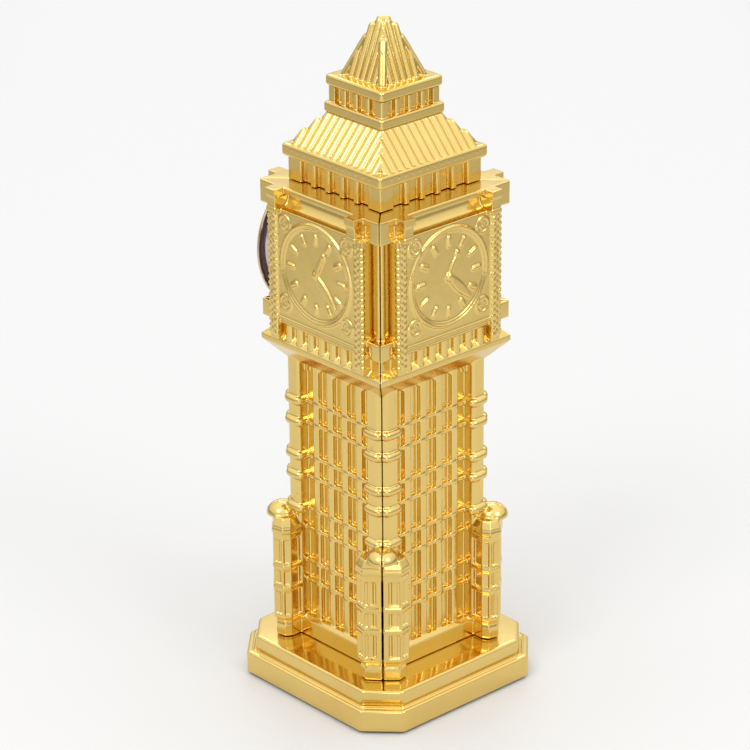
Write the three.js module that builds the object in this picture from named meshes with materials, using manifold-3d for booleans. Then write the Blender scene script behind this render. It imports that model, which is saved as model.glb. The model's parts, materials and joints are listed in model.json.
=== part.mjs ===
// Souvenir clock tower: a gold-plated die-cast model with a push-in quartz clock in its front wall.
// Millimetres, +Z up. The origin is the middle of the underside of the base pad.
// The real clock faces -Y. The other three walls carry dials that are moulded into them.
import * as THREE from 'three';
import { mergeVertices } from 'three/addons/utils/BufferGeometryUtils.js';
import Module from 'manifold-3d';

const wasm = await Module();
wasm.setup();

// ---------- driving dimensions ----------
// Heights are measured from the underside of the gold base; the pad lifts the whole tower.
const PAD_T = 0.7;
const GAP = 0.3; // clearance between castings that bear on each other
const SEAM = 0.15; // half of the open seam between two walls

const BASE = { low: 6.2, top: 10.6, half1: 30.3, half2: 28.2, cut1: 8, cut2: 7.3, wall: 2.4 };

const SHAFT = {
  panel: 15.6, ribFront: 17.15, ribPitch: 5.48, ribWidth: 2.2, bandFront: 17, bandHeight: 1.2,
  columnIn: 12.85, columnOut: 17.25, columnFront: 18.8, columnBevel: 0.7, strip: 17.75,
  ringOut: 0.8, ringHeight: 2.2, foot: 18.3, footTop: 16.3, ribFoot: 16, top: 90,
};
const BANDS = [26.5, 32.2, 41.8, 47.5, 56.8, 62.5, 72, 78];
const RINGED_BANDS = BANDS.slice(3);

const TURRET = {
  seam: 21.2, outer: [17.4, 24.5], front: [14.4, 23.9], side: [13.2, 22], middle: [17.6, 18.6],
  back: 14.6, footTop: 16.4, capBottom: 41.2, capTop: 44, roofTop: 48.1,
};
const TURRET_BANDS = [[24.3, 26], [30.5, 32.2]];
const TURRET_ROOF = [[0.5, 0.8], [0.8, 0.62], [1, 0.4]]; // share of the height, scale of the plan

const STAGE = {
  flangeHalf: 22.5, flangeLow: 94, flangeHigh: 95.4, flangeTop: 97, bevelStart: 88.5,
  core: 20.9, arcadeTop: 100.5, panelFront: 23.3, panelLow: 102.2, panelHigh: 131.8,
  pilasterIn: 14.3, pilasterOut: 17.5, pilasterFront: 24.1, pilasterTop: 131.3,
  corner: 22.3, cornerPost: 18.4, cornerPostR: 2.3, cornerRecess: 19.3, cornerLow: 105,
  capIn: 13.3, capOut: 16.3, capFront: 25.4, trough: 20.2, troughTop: 135.8, deckTop: 137.3,
};
const ARCADE = { pitch: 4.15, half: 1.3, front: 22.5 };
const DIAL = {
  z: 117.8, ringOut: 13, ringIn: 11.4, relief: 0.6, markOut: 11.1, markIn: 7.9, markHalf: 0.55, markRelief: 0.4,
  hourLength: 6.2, hourHalf: 0.55, minuteLength: 10.4, minuteHalf: 0.8, handRelief: 0.5, hubR: 1.3,
  rosetteR: 2.1, rosetteX: 11.5, rosetteZ: 10.7, sunk: 0.5,
};

const CAVITY = { shaft: 13, stage: 19.8, stageCut: 4, stageLow: 97.5, stageHigh: 131.3, top: 17, deckLow: 135.3 };
const DECK_HOLE = 11;

const ROOF = {
  arcade: 17.1, arcadeRecess: 16.3, bayPitch: 5.3, bayHalf: 1.7,
  slab: 18.35, slabLow: 143.6, slabTop: 146.9, eaves: 16.9, neck: 9.3, neckZ: 155,
  ribPitch: 2.45, ribWidth: 1.2, ribHeight: 0.7,
  lowSlab: 10.75, lowSlabTop: 158, lantern: 9.9, lanternRecess: 8.9, lanternTop: 161.9, shell: 2.2, socketR: 3.3,
};
const LANTERN_POSTS = [[-8.6, 1.3], [-4.3, 0.85], [0, 0.85], [4.3, 0.85], [8.6, 1.3]]; // middle and half width
const SPIRE = {
  slab: 10.45, slabLow: 162.2, slabTop: 165, foot: 7.2, apex: 180, tip: 1.2, ribPitch: 2.1, ribWidth: 1.1,
  ribHeight: 0.5, tenonR: 3,
};

const SCREW = { headR: 2.2, headH: 1.2, shankR: 1.1, bossR: 2.6, pilotR: 1.3 };
const BASE_SCREW_AT = 12.9;
const BASE_SCREW_END = 22;
const BASE_BOSS_LOW = 4.6;
const ROOF_SCREW_AT = 13;
const ROOF_SCREW_END = 142;

// The insert clock. "s" is the distance in front of the tower's axis, so s = -y.
const CLOCK = { z: 115.4, bore: 16.2, caseR: 15.9, shoulderR: 17, caseBack: 9.5, shoulderLow: 24.4, caseFront: 25.8 };
const CASE = {
  wallIn: 14.6, grooveR: 15.2, grooveLow: 19.4, grooveHigh: 22.8, seatR: 15.3, floorLow: 23, floorTop: 24,
  tubeHole: 1.7, notchIn: 12, notchHalf: 2.1, notchTop: 15.2,
  pocketIn: 12.6, pocketOut: 15.4, pocketHalf: 2.9, pocketTop: 15.9, pocketWall: 0.6, stemHole: 0.6,
};
const COVER = { r: 14.3, low: 9.6, top: 10.4, windowIn: 11.4, windowHalf: 3.2 };
const CARD = { hole: 1.5, r: 15, low: 24.15, top: 24.45 };
const LENS = { r: 14.5, low: 27, edge: 27.6, shoulderR: 8, shoulder: 28.2, top: 28.4 };
const GRIP = { inner: 15.4, edge: 15.95, crest: 16.05, low: 19.7, mid: 21.1, top: 22.5 };
const HOUR = { s: 24.75, thick: 0.2, tail: 2, length: 7.6, rootHalf: 0.7, tipHalf: 0.45, hub: 1.7, hole: 1.05 };
const MINUTE = { s: 25.2, thick: 0.2, tail: 2.5, length: 11, rootHalf: 0.6, tipHalf: 0.35, hub: 1.3, hole: 0.62 };
const SECOND = { s: 25.65, thick: 0.15, tail: 3.6, length: 12, rootHalf: 0.22, tipHalf: 0.12, hub: 0.9, hole: 0.33 };
const REST_ANGLES = { hour: (Math.PI * 5) / 3 + 0.09, minute: Math.PI / 3, second: Math.PI * 0.83 };

// Wheel positions beside the middle of the clock, and the height of the lowest bearing.
const MOTION = { x: 0, z: 4.3 };
const IDLER = { x: -3.9, z: -1.8 };
const ROTOR = { x: -6.2, z: -4.1 };
const BEARING_S = 15.3;
const HOUR_TUBE = { inner: 0.75, outer: 0.98, low: 20.4, top: 25 };
const MINUTE_TUBE = { inner: 0.35, outer: 0.6, low: 18.4, top: 25.45 };

const PLATE = { r: 12.3, low: 21.6, top: 22.6 };
const BRIDGE = { x0: -9, x1: 4.5, low: 14.2, top: 14.9, below: 7, above: 8.5, hole: 0.4 };
const STATOR = { x0: -10.3, x1: 5.6, low: 18.6, top: 19, below: 8.2, above: 3.2, poleR: 1.2, slotHalf: 4.6, slotTop: 4.9 };
const COIL = { s: 18.8, below: 9.6, wireR: 1.2, flangeR: 1.6, half: 4.6, flange: 0.7 };
const BOARD = { half: 8, low: 16.3, top: 16.9, below: 11.4, above: 7.6 };
const CHIP = { half: 1.6, top: 17.3, below: 11, above: 8.6 };
const CELL = { x: -3, z: 3, r: 4.2, capR: 3.6, low: 11.2, top: 13.6, capTop: 13.8 };
const STRAP = { x0: -4, x1: -2, low: 10.7, thick: 0.3, above: 5.5, below: 8.2, legTop: 16, legThick: 0.9 };
const STEM = { s: 12.6, r: 0.4, x0: 7.5, x1: 13.8, collarR: 0.75, collarX: 9.2, collarWidth: 0.6 };
const CROWN = { r: 1.5, x0: 13.9, x1: 15.3 };
const LEVER = { x0: 8.3, x1: 8.8, low: 11.2, top: 12.1, half: 1.6, toeTop: 13.6, toeLow: 2.4, toeHigh: 1.2 };

// ---------- materials ----------
const finish = (color, roughness, metalness) => new THREE.MeshStandardMaterial({ color, roughness, metalness });
const gold = finish(0xd9b35a, 0.22, 1);
const steel = finish(0xb9bcc0, 0.3, 1);
const brass = finish(0xc8a04a, 0.3, 1);
const whitePlastic = finish(0xe4e2dc, 0.45, 0);
const blackPlastic = finish(0x1c1c1e, 0.5, 0);
const rubber = finish(0x2a2a2c, 0.8, 0);
const foam = finish(0x1b1a19, 0.95, 0);
const dialWhite = finish(0xf4f2ea, 0.5, 0);
const handBlack = finish(0x101012, 0.35, 0.2);
const glass = new THREE.MeshStandardMaterial({ color: 0xeef4f6, roughness: 0.03, transparent: true, opacity: 0.3 });
const copper = finish(0xb5653a, 0.4, 0.8);
const boardGreen = finish(0x1f5a3a, 0.6, 0);

// ---------- solids ----------
// A closed geometry as a solid; one drawn inside out is turned the right way round.
function solid(geometry) {
  const bare = geometry.index ? geometry.toNonIndexed() : geometry.clone();
  bare.deleteAttribute('normal');
  bare.deleteAttribute('uv');
  const merged = mergeVertices(bare, 1e-5);
  const vertProperties = new Float32Array(merged.attributes.position.array);
  const triVerts = new Uint32Array(merged.index.array);
  const body = new wasm.Manifold(new wasm.Mesh({ numProp: 3, vertProperties, triVerts }));
  if (body.volume() > 0) return body;
  return new wasm.Manifold(new wasm.Mesh({ numProp: 3, vertProperties, triVerts: triVerts.reverse() }));
}

function geometryOf(manifold) {
  const mesh = manifold.getMesh();
  const geometry = new THREE.BufferGeometry();
  geometry.setAttribute('position', new THREE.BufferAttribute(new Float32Array(mesh.vertProperties), 3));
  geometry.setIndex(new THREE.BufferAttribute(new Uint32Array(mesh.triVerts), 1));
  return geometry;
}

const join = (parts) => parts.reduce((sum, part) => sum.add(part));
const cut = (body, tools) => tools.reduce((rest, tool) => rest.subtract(tool), body);

function shapeOf(points) {
  return new THREE.Shape(points.map(([a, b]) => new THREE.Vector2(a, b)));
}

// A plan outline (x, y) raised from z0 to z1.
function prism(points, z0, z1) {
  const geometry = new THREE.ExtrudeGeometry(shapeOf(points), { depth: z1 - z0, bevelEnabled: false });
  return solid(geometry.translate(0, 0, z0));
}

// Wall solids are drawn with x across the face, s outward from the tower's axis, and z up.
function wallBox(x0, x1, s0, s1, z0, z1) {
  const geometry = new THREE.BoxGeometry(x1 - x0, s1 - s0, z1 - z0);
  return solid(geometry.translate((x0 + x1) / 2, -(s0 + s1) / 2, (z0 + z1) / 2));
}

function wallPrism(points, z0, z1) {
  return prism(points.map(([x, s]) => [x, -s]).reverse(), z0, z1);
}

// A side profile (s, z) drawn across the face from x0 to x1.
function wallProfile(points, x0, x1) {
  const geometry = new THREE.ExtrudeGeometry(shapeOf(points), { depth: x1 - x0, bevelEnabled: false });
  const place = new THREE.Matrix4().makeBasis(
    new THREE.Vector3(0, -1, 0), new THREE.Vector3(0, 0, 1), new THREE.Vector3(-1, 0, 0));
  geometry.applyMatrix4(place).translate(x1, 0, 0);
  return solid(geometry);
}

// A face outline (x, z) raised outward from s0 to s1.
function wallRelief(points, s0, s1) {
  const geometry = new THREE.ExtrudeGeometry(shapeOf(points), { depth: s1 - s0, bevelEnabled: false });
  return solid(geometry.rotateX(Math.PI / 2).translate(0, -s0, 0));
}

// A turned piece about the axis through (x, z) that points outward; profile points are (radius, s).
function turned(profile, sides, x = 0, z = CLOCK.z) {
  const geometry = new THREE.LatheGeometry(profile.map(([r, s]) => new THREE.Vector2(r, s)), sides);
  return solid(geometry.rotateX(Math.PI).translate(x, 0, z));
}

const closed = (points) => [...points, points[0]];
const discProfile = (r, s0, s1) => [[0, s0], [r, s0], [r, s1], [0, s1]];
const ringProfile = (rIn, rOut, s0, s1) => closed([[rIn, s0], [rOut, s0], [rOut, s1], [rIn, s1]]);

function arc(cx, cy, r, from, to, steps) {
  return Array.from({ length: steps + 1 }, (_, i) => {
    const angle = from + ((to - from) * i) / steps;
    return [cx + r * Math.cos(angle), cy + r * Math.sin(angle)];
  });
}

const square = (half) => [[-half, -half], [half, -half], [half, half], [-half, half]];
const cutSquare = (half, leg) => [
  [-half + leg, -half], [half - leg, -half], [half, -half + leg], [half, half - leg],
  [half - leg, half], [-half + leg, half], [-half, half - leg], [-half, -half + leg],
];

function frustum(half0, z0, half1, z1) {
  const geometry = new THREE.CylinderGeometry(half1 * Math.SQRT2, half0 * Math.SQRT2, z1 - z0, 4, 1);
  geometry.rotateX(Math.PI / 2).rotateZ(Math.PI / 4).translate(0, 0, (z0 + z1) / 2);
  return solid(geometry);
}

function upright(r, x, y, z0, z1, sides) {
  const geometry = new THREE.CylinderGeometry(r, r, z1 - z0, sides);
  return solid(geometry.rotateX(Math.PI / 2).translate(x, y, (z0 + z1) / 2));
}

const quarterTurns = [0, 1, 2, 3];
const turnedBy = (body, quarter) => body.rotate([0, 0, 90 * quarter]);
const onFourSides = (body) => quarterTurns.map((quarter) => turnedBy(body, quarter));
const screwSpots = (radius) => quarterTurns.map((quarter) => {
  const angle = (quarter - 1) * (Math.PI / 2);
  return [radius * Math.cos(angle), radius * Math.sin(angle)];
});

// ---------- scene graph ----------
const group = new THREE.Group();
const tower = new THREE.Group();
tower.position.z = PAD_T;
group.add(tower);

function addNode(name, body, material, parent = tower) {
  const mesh = new THREE.Mesh(geometryOf(body), material);
  mesh.name = name;
  parent.add(mesh);
}

// ---------- base ----------
function basePad() {
  return prism(cutSquare(BASE.half1 - 0.8, BASE.cut1), 0, PAD_T);
}

function basePlinth() {
  const lower = prism(cutSquare(BASE.half1, BASE.cut1), 0, BASE.low);
  const upper = prism(cutSquare(BASE.half2, BASE.cut2), BASE.low, BASE.top);
  const hollow = prism(cutSquare(BASE.half2 - BASE.wall, BASE.cut2), -1, BASE.top - BASE.wall);
  const bosses = screwSpots(BASE_SCREW_AT).map(([x, y]) =>
    upright(SCREW.bossR + 1, x, y, BASE_BOSS_LOW, BASE.top - 0.5, 12));
  const holes = screwSpots(BASE_SCREW_AT).map(([x, y]) =>
    upright(SCREW.pilotR + 0.2, x, y, 0, BASE.top + 1, 12));
  return cut(join([lower.add(upper).subtract(hollow), ...bosses]), holes);
}

// ---------- walls ----------
// The plan of a corner pilaster; grow swells it for a ring.
function columnPlan(side, grow) {
  const S = SHAFT;
  const back = S.panel - 1;
  const front = S.columnFront + grow;
  const bevel = S.columnBevel + grow / 2;
  const left = S.columnIn - grow;
  const right = S.columnOut + grow;
  const points = [[right, back], [right, front - bevel], [right - bevel, front], [left + bevel, front],
    [left, front - bevel], [left, back]];
  return side > 0 ? points : points.map(([x, s]) => [-x, s]).reverse();
}

function shaftFace() {
  const reach = STAGE.flangeHalf + 1;
  const parts = [
    wallBox(-reach, reach, 0, SHAFT.panel, BASE.top + GAP, STAGE.flangeLow),
    wallProfile([[0, BASE.top + GAP], [SHAFT.foot, BASE.top + GAP], [SHAFT.foot, SHAFT.footTop - 1],
      [SHAFT.ribFront + 0.2, SHAFT.footTop], [0, SHAFT.footTop]], -reach, reach),
  ];
  for (const step of [-1.5, -0.5, 0.5, 1.5]) {
    const x = step * SHAFT.ribPitch;
    const half = SHAFT.ribWidth / 2;
    parts.push(wallBox(x - half, x + half, SHAFT.panel - 1, SHAFT.ribFront, SHAFT.ribFoot, SHAFT.top));
  }
  for (const z of BANDS) {
    const half = SHAFT.bandHeight / 2;
    const end = SHAFT.columnIn + 0.3;
    parts.push(wallBox(-end, end, SHAFT.panel - 1, SHAFT.bandFront, z - half, z + half));
  }
  for (const side of [-1, 1]) {
    parts.push(wallPrism(columnPlan(side, 0), SHAFT.ribFoot, SHAFT.top));
    for (const z of RINGED_BANDS) {
      const half = SHAFT.ringHeight / 2;
      parts.push(wallPrism(columnPlan(side, SHAFT.ringOut), z - half, z + half));
    }
  }
  parts.push(wallBox(-reach, -SHAFT.columnOut + 1, 0, SHAFT.strip, SHAFT.ribFoot, SHAFT.top));
  parts.push(wallBox(SHAFT.columnOut - 1, reach, 0, SHAFT.strip, SHAFT.ribFoot, SHAFT.top));
  return join(parts);
}

// The plan of a half turret on one side of a wall, scaled about its own middle.
function turretPlan(side, scale) {
  const [midX, midS] = TURRET.middle;
  const { back } = TURRET;
  const points = [
    [TURRET.seam, TURRET.seam], TURRET.outer, TURRET.front, TURRET.side, [TURRET.side[0], back], [back, back],
  ];
  return points.map(([x, s]) => [side * (midX + (x - midX) * scale), midS + (s - midS) * scale]);
}

function turret(side) {
  const height = TURRET.roofTop - TURRET.capTop;
  const parts = [
    wallPrism(turretPlan(side, 0.87), BASE.top + GAP, TURRET.footTop),
    wallPrism(turretPlan(side, 0.97), TURRET.footTop - 0.1, TURRET.capBottom),
    wallPrism(turretPlan(side, 1.05), TURRET.capBottom - 0.1, TURRET.capTop),
  ];
  for (const [z0, z1] of TURRET_BANDS) {
    parts.push(wallPrism(turretPlan(side, 1.02), z0, z1));
  }
  for (const [lift, scale] of TURRET_ROOF) {
    parts.push(wallPrism(turretPlan(side, scale), TURRET.capTop - 0.1, TURRET.capTop + height * lift));
  }
  return join(parts);
}

function stageFace(hasRealClock) {
  const S = STAGE;
  const reach = S.flangeHalf + 1;
  const parts = [
    wallProfile([[0, S.bevelStart], [SHAFT.panel, S.bevelStart], [SHAFT.strip + 0.1, S.bevelStart],
      [S.flangeHalf, S.flangeLow], [S.flangeHalf, S.flangeHigh], [S.core, S.flangeTop], [0, S.flangeTop]],
    -reach, reach),
    wallBox(-reach, reach, 0, S.core, S.flangeTop - 0.5, S.arcadeTop),
    wallBox(-S.pilasterIn, S.pilasterIn, 0, S.panelFront - 0.7, S.arcadeTop, S.panelLow),
    wallBox(-S.pilasterIn, S.pilasterIn, 0, S.panelFront, S.panelLow, S.panelHigh),
    wallBox(-S.capIn, S.capIn, 0, S.trough, S.panelHigh, S.troughTop),
    wallBox(-reach, reach, 0, S.corner, S.troughTop, S.deckTop),
    wallBox(-reach, reach, 0, S.cornerRecess, S.cornerLow, S.pilasterTop),
  ];
  for (const step of [-3, -2, -1, 0, 1, 2, 3]) {
    const x = step * ARCADE.pitch;
    parts.push(wallBox(x - ARCADE.half, x + ARCADE.half, S.core - 1, ARCADE.front, S.flangeTop - 1, S.arcadeTop));
  }
  for (const side of [-1, 1]) {
    const across = (a, b) => (side > 0 ? [a, b] : [-b, -a]);
    parts.push(
      wallBox(...across(S.pilasterIn, S.pilasterOut), 10, S.pilasterFront, S.flangeTop - 1, S.pilasterTop),
      wallBox(...across(S.capIn, S.capOut), 10, S.capFront, S.pilasterTop, S.deckTop),
      wallBox(...across(S.capOut - 1, reach), 10, S.corner, S.pilasterTop, S.deckTop),
      wallBox(...across(S.capOut, reach), 10, S.corner, S.arcadeTop, S.cornerLow),
    );
    const post = upright(S.cornerPostR, side * S.cornerPost, -S.cornerPost, S.cornerLow - 0.5,
      S.pilasterTop + 0.5, 10);
    parts.push(post);
  }
  if (!hasRealClock) {
    parts.push(...mouldedDial());
  }
  return join(parts);
}

function mouldedDial() {
  const D = DIAL;
  const front = STAGE.panelFront;
  const low = front - D.sunk;
  const parts = [turned(ringProfile(D.ringIn, D.ringOut, low, front + D.relief), 24, 0, D.z)];
  const bar = (angle, inner, outer, half, height) => {
    const c = Math.cos(angle);
    const s = Math.sin(angle);
    const corners = [[inner, -half], [outer, -half], [outer, half], [inner, half]];
    const points = corners.map(([along, across]) => [along * s + across * c, D.z + along * c - across * s]);
    return wallRelief(points.reverse(), low, front + height);
  };
  for (let hour = 0; hour < 12; hour += 1) {
    parts.push(bar((hour * Math.PI) / 6, D.markIn, D.markOut, D.markHalf, D.markRelief));
  }
  parts.push(bar((Math.PI * 3) / 20, 0, D.hourLength, D.hourHalf, D.handRelief));
  parts.push(bar((Math.PI * 3) / 4, 0, D.minuteLength, D.minuteHalf, D.handRelief));
  parts.push(turned(discProfile(D.hubR, low, front + D.relief), 8, 0, D.z));
  for (const x of [-D.rosetteX, D.rosetteX]) {
    for (const z of [-D.rosetteZ, D.rosetteZ]) {
      parts.push(turned(discProfile(D.rosetteR, low, front + 0.3), 8, x, D.z + z));
    }
  }
  return parts;
}

function wallCavity() {
  const C = CAVITY;
  return [
    prism(square(C.shaft), 0, C.stageLow - 4),
    frustum(C.shaft, C.stageLow - 5, C.shaft + 5, C.stageLow + 0.1),
    prism(cutSquare(C.stage, C.stageCut), C.stageLow, C.stageHigh),
    prism(cutSquare(C.top, C.stageCut), C.stageHigh - 0.1, C.deckLow),
    prism(square(DECK_HOLE), C.deckLow - 1, STAGE.deckTop + 1),
  ];
}

function footLug() {
  const half = SCREW.bossR + 0.4;
  return wallBox(-half, half, BASE_SCREW_AT - 2.1, SHAFT.panel, BASE.top + GAP, BASE_SCREW_END + 2);
}

function wall(hasRealClock) {
  const outside = join([shaftFace(), turret(-1), turret(1), stageFace(hasRealClock)]);
  const far = 60;
  const wedge = wallPrism([[0, SEAM * Math.SQRT2], [far, far + SEAM * Math.SQRT2],
    [-far, far + SEAM * Math.SQRT2]], 0, 200);
  let body = cut(outside.intersect(wedge), wallCavity()).add(footLug());
  const pilots = [
    upright(SCREW.shankR + 0.1, 0, -BASE_SCREW_AT, BASE.top - 1, BASE_SCREW_END + 0.5, 12),
    upright(SCREW.pilotR, 0, -ROOF_SCREW_AT, CAVITY.deckLow - 1, STAGE.deckTop + 1, 12),
  ];
  body = cut(body, pilots);
  if (hasRealClock) {
    body = body.subtract(turned(discProfile(CLOCK.bore, 5, 40), 36));
  }
  return body;
}

// ---------- roof ----------
function ribbedSlope(foot, footZ, top, topZ, pitch, width, height) {
  // Ribs run up one face and end on the hips; the other faces are turned copies.
  const lean = Math.atan2(foot - top, topZ - footZ);
  const length = Math.hypot(foot - top, topZ - footZ);
  const ribs = [];
  const count = Math.floor(foot / pitch);
  for (let step = -count; step <= count; step += 1) {
    const x = step * pitch;
    const onHip = foot - Math.abs(x);
    const part = Math.min(1, onHip / (foot - top));
    if (part * length < 1.2) continue;
    const geometry = new THREE.BoxGeometry(width, height * 2, length * part);
    geometry.translate(0, 0, (length * part) / 2).rotateX(-lean).translate(x, -foot, footZ);
    ribs.push(solid(geometry));
  }
  return join(ribs);
}

function roofBody() {
  const R = ROOF;
  const deck = STAGE.deckTop + GAP;
  const parts = [
    prism(square(R.arcadeRecess), deck, R.slabLow + 0.2),
    prism(cutSquare(R.slab, 0.5), R.slabLow, R.slabTop),
    frustum(R.eaves, R.slabTop - 0.1, R.neck, R.neckZ),
    prism(square(R.lowSlab), R.neckZ, R.lowSlabTop),
    prism(square(R.lanternRecess), R.lowSlabTop - 0.1, R.lanternTop),
  ];
  const bay = [];
  for (const step of [-2.5, -1.5, -0.5, 0.5, 1.5, 2.5]) {
    const x = step * R.bayPitch;
    bay.push(wallBox(x - R.bayPitch / 2 + R.bayHalf, x + R.bayPitch / 2 - R.bayHalf,
      R.arcadeRecess - 1, R.arcade, deck, R.slabLow + 0.2));
  }
  bay.push(wallBox(2.5 * R.bayPitch, R.arcade, R.arcadeRecess - 1, R.arcade, deck, R.slabLow + 0.2));
  bay.push(wallBox(-R.arcade, -2.5 * R.bayPitch, R.arcadeRecess - 1, R.arcade, deck, R.slabLow + 0.2));
  for (const [x, half] of LANTERN_POSTS) {
    bay.push(wallBox(x - half, x + half, R.lanternRecess - 1, R.lantern, R.lowSlabTop - 0.1, R.lanternTop));
  }
  bay.push(ribbedSlope(R.eaves, R.slabTop, R.neck, R.neckZ, R.ribPitch, R.ribWidth, R.ribHeight));
  parts.push(...onFourSides(join(bay)));
  const skirt = R.arcadeRecess - R.shell;
  const hollow = [
    prism(square(skirt), deck - 1, R.slabTop - 1.5),
    frustum(skirt, R.slabTop - 1.6, R.neck - R.shell, R.neckZ),
  ];
  const bosses = screwSpots(ROOF_SCREW_AT).map(([x, y]) =>
    upright(SCREW.bossR, x, y, deck, R.slabTop - 1, 12));
  const pilots = screwSpots(ROOF_SCREW_AT).map(([x, y]) =>
    upright(SCREW.shankR + 0.1, x, y, deck - 1, ROOF_SCREW_END + 0.5, 12));
  const socket = upright(R.socketR, 0, 0, R.neckZ - 1, R.lanternTop + 1, 16);
  return cut(join([cut(join(parts), hollow), ...bosses]), [...pilots, socket]);
}

function spireCap() {
  const S = SPIRE;
  const parts = [
    prism(cutSquare(S.slab, 0.4), S.slabLow, S.slabTop),
    frustum(S.foot, S.slabTop - 0.1, S.tip, S.apex),
    upright(S.tenonR, 0, 0, ROOF.neckZ + 0.5, S.slabLow + 0.2, 16),
  ];
  const ribs = ribbedSlope(S.foot, S.slabTop, S.tip, S.apex, S.ribPitch, S.ribWidth, S.ribHeight);
  const clip = prism(square(S.slab), S.slabTop - 1, S.apex);
  parts.push(...onFourSides(ribs).map((body) => body.intersect(clip)));
  return join(parts);
}

// ---------- screws ----------
function screw(x, y, headZ, end) {
  const head = upright(SCREW.headR, x, y, headZ - SCREW.headH, headZ, 10);
  const shank = upright(SCREW.shankR, x, y, headZ - 0.1, end, 6);
  const slot = solid(new THREE.BoxGeometry(3, 0.5, 0.8).translate(x, y, headZ - SCREW.headH));
  return head.add(shank).subtract(slot);
}

// ---------- insert clock ----------
// A box in the clock: z is measured from the middle of the clock.
const clockBox = (x0, x1, s0, s1, z0, z1) => wallBox(x0, x1, s0, s1, CLOCK.z + z0, CLOCK.z + z1);

function alongX(r, x0, x1, s, z, sides) {
  return solid(new THREE.CylinderGeometry(r, r, x1 - x0, sides).rotateZ(Math.PI / 2)
    .translate((x0 + x1) / 2, -s, CLOCK.z + z));
}

function clockCase() {
  const C = CLOCK;
  const K = CASE;
  const profile = closed([
    [K.wallIn, C.caseBack], [C.caseR, C.caseBack], [C.caseR, K.grooveLow], [K.grooveR, K.grooveLow],
    [K.grooveR, K.grooveHigh], [C.caseR, K.grooveHigh], [C.caseR, C.shoulderLow], [C.shoulderR, C.shoulderLow],
    [C.shoulderR, C.caseFront], [K.seatR, C.caseFront], [K.seatR, K.floorTop], [K.tubeHole, K.floorTop],
    [K.tubeHole, K.floorLow], [K.wallIn, K.floorLow],
  ]);
  const notch = clockBox(K.notchIn, C.shoulderR, C.caseBack - 1, K.notchTop, -K.notchHalf, K.notchHalf);
  const stemHole = alongX(K.stemHole, K.notchIn - 0.4, K.pocketOut + 0.2, STEM.s, 0, 12);
  const low = C.caseBack + 1.2;
  const inner = K.pocketHalf - K.pocketWall;
  const inside = K.pocketIn + 0.8;
  const pocket = join([
    clockBox(K.pocketIn, inside, low, K.pocketTop, -K.pocketHalf, K.pocketHalf),
    clockBox(inside - 0.4, K.pocketOut, low, K.pocketTop, -K.pocketHalf, -inner),
    clockBox(inside - 0.4, K.pocketOut, low, K.pocketTop, inner, K.pocketHalf),
    clockBox(inside - 0.4, K.pocketOut, K.notchTop, K.pocketTop, -K.pocketHalf, K.pocketHalf),
  ]);
  return turned(profile, 36).subtract(notch).add(pocket).subtract(stemHole);
}

// A thin pressed ring, dished behind.
function clockBezel() {
  const profile = closed([
    [15.4, 26.9], [16.2, 26.15], [17.2, 26.9], [18.6, 26.7], [19.5, 26.1], [19.7, 26.9],
    [17.6, 28.7], [15.8, 28.9], [14.7, 27.8], [14.7, 26.9],
  ]);
  return turned(profile, 40);
}

const clockLens = () => turned([[0, LENS.low], [LENS.r, LENS.low], [LENS.r, LENS.edge],
  [LENS.shoulderR, LENS.shoulder], [0, LENS.top]], 32);
const clockDial = () => turned(ringProfile(CARD.hole, CARD.r, CARD.low, CARD.top), 32);
const gripRing = () => turned(closed([[GRIP.inner, GRIP.low], [GRIP.edge, GRIP.low], [GRIP.crest, GRIP.mid],
  [GRIP.edge, GRIP.top], [GRIP.inner, GRIP.top]]), 36);
const caseBack = () => turned(discProfile(COVER.r, COVER.low, COVER.top), 32)
  .subtract(clockBox(COVER.windowIn, COVER.r + 1, COVER.low - 1, COVER.top + 1, -COVER.windowHalf, COVER.windowHalf));

// A hand lies in a plane s = constant and points straight up at rest angle 0, turned clockwise by angle.
function hand(H, angle) {
  const c = Math.cos(angle);
  const q = Math.sin(angle);
  const corners = [[-H.rootHalf, -H.tail], [H.rootHalf, -H.tail], [H.tipHalf, H.length], [-H.tipHalf, H.length]];
  const outline = corners.map(([x, z]) => [x * c + z * q, CLOCK.z + z * c - x * q]);
  const blade = wallRelief(outline, H.s, H.s + H.thick);
  const hub = turned(discProfile(H.hub, H.s, H.s + H.thick), 16);
  return blade.add(hub).subtract(turned(discProfile(H.hole, H.s - 1, H.s + 1), 16));
}

function gear(teeth, tip, root, hole, s0, s1, x = 0, z = 0) {
  const points = [];
  for (let i = 0; i < teeth * 2; i += 1) {
    const r = i % 2 ? tip : root;
    const angle = (i * Math.PI) / teeth;
    points.push([x + r * Math.cos(angle), CLOCK.z + z + r * Math.sin(angle)]);
  }
  const body = wallRelief(points, s0, s1);
  return hole > 0 ? body.subtract(turned(discProfile(hole, s0 - 1, s1 + 1), 12, x, CLOCK.z + z)) : body;
}

function hourWheel() {
  const T = HOUR_TUBE;
  return gear(32, 3.35, 3, T.inner, T.low - 0.2, T.low + 0.1).add(turned(ringProfile(T.inner, T.outer, T.low, T.top), 16));
}

function cannonPinion() {
  const T = MINUTE_TUBE;
  return gear(10, 1.15, 0.9, T.inner, T.low, T.low + 0.4).add(turned(ringProfile(T.inner, T.outer, T.low, T.top), 16));
}

function minuteWheel() {
  const wheel = gear(30, 3.05, 2.75, 0, 18.45, 18.75, MOTION.x, MOTION.z);
  const pinion = gear(8, 0.85, 0.65, 0, 18.7, 20.9, MOTION.x, MOTION.z);
  return wheel.add(pinion).add(turned(discProfile(0.3, 17.8, 21.3), 12, MOTION.x, CLOCK.z + MOTION.z));
}

function secondWheel() {
  const arbor = turned(discProfile(0.28, BEARING_S, SECOND.s + 0.2), 12);
  return gear(30, 3.1, 2.8, 0, 16.4, 16.7).add(arbor);
}

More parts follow.
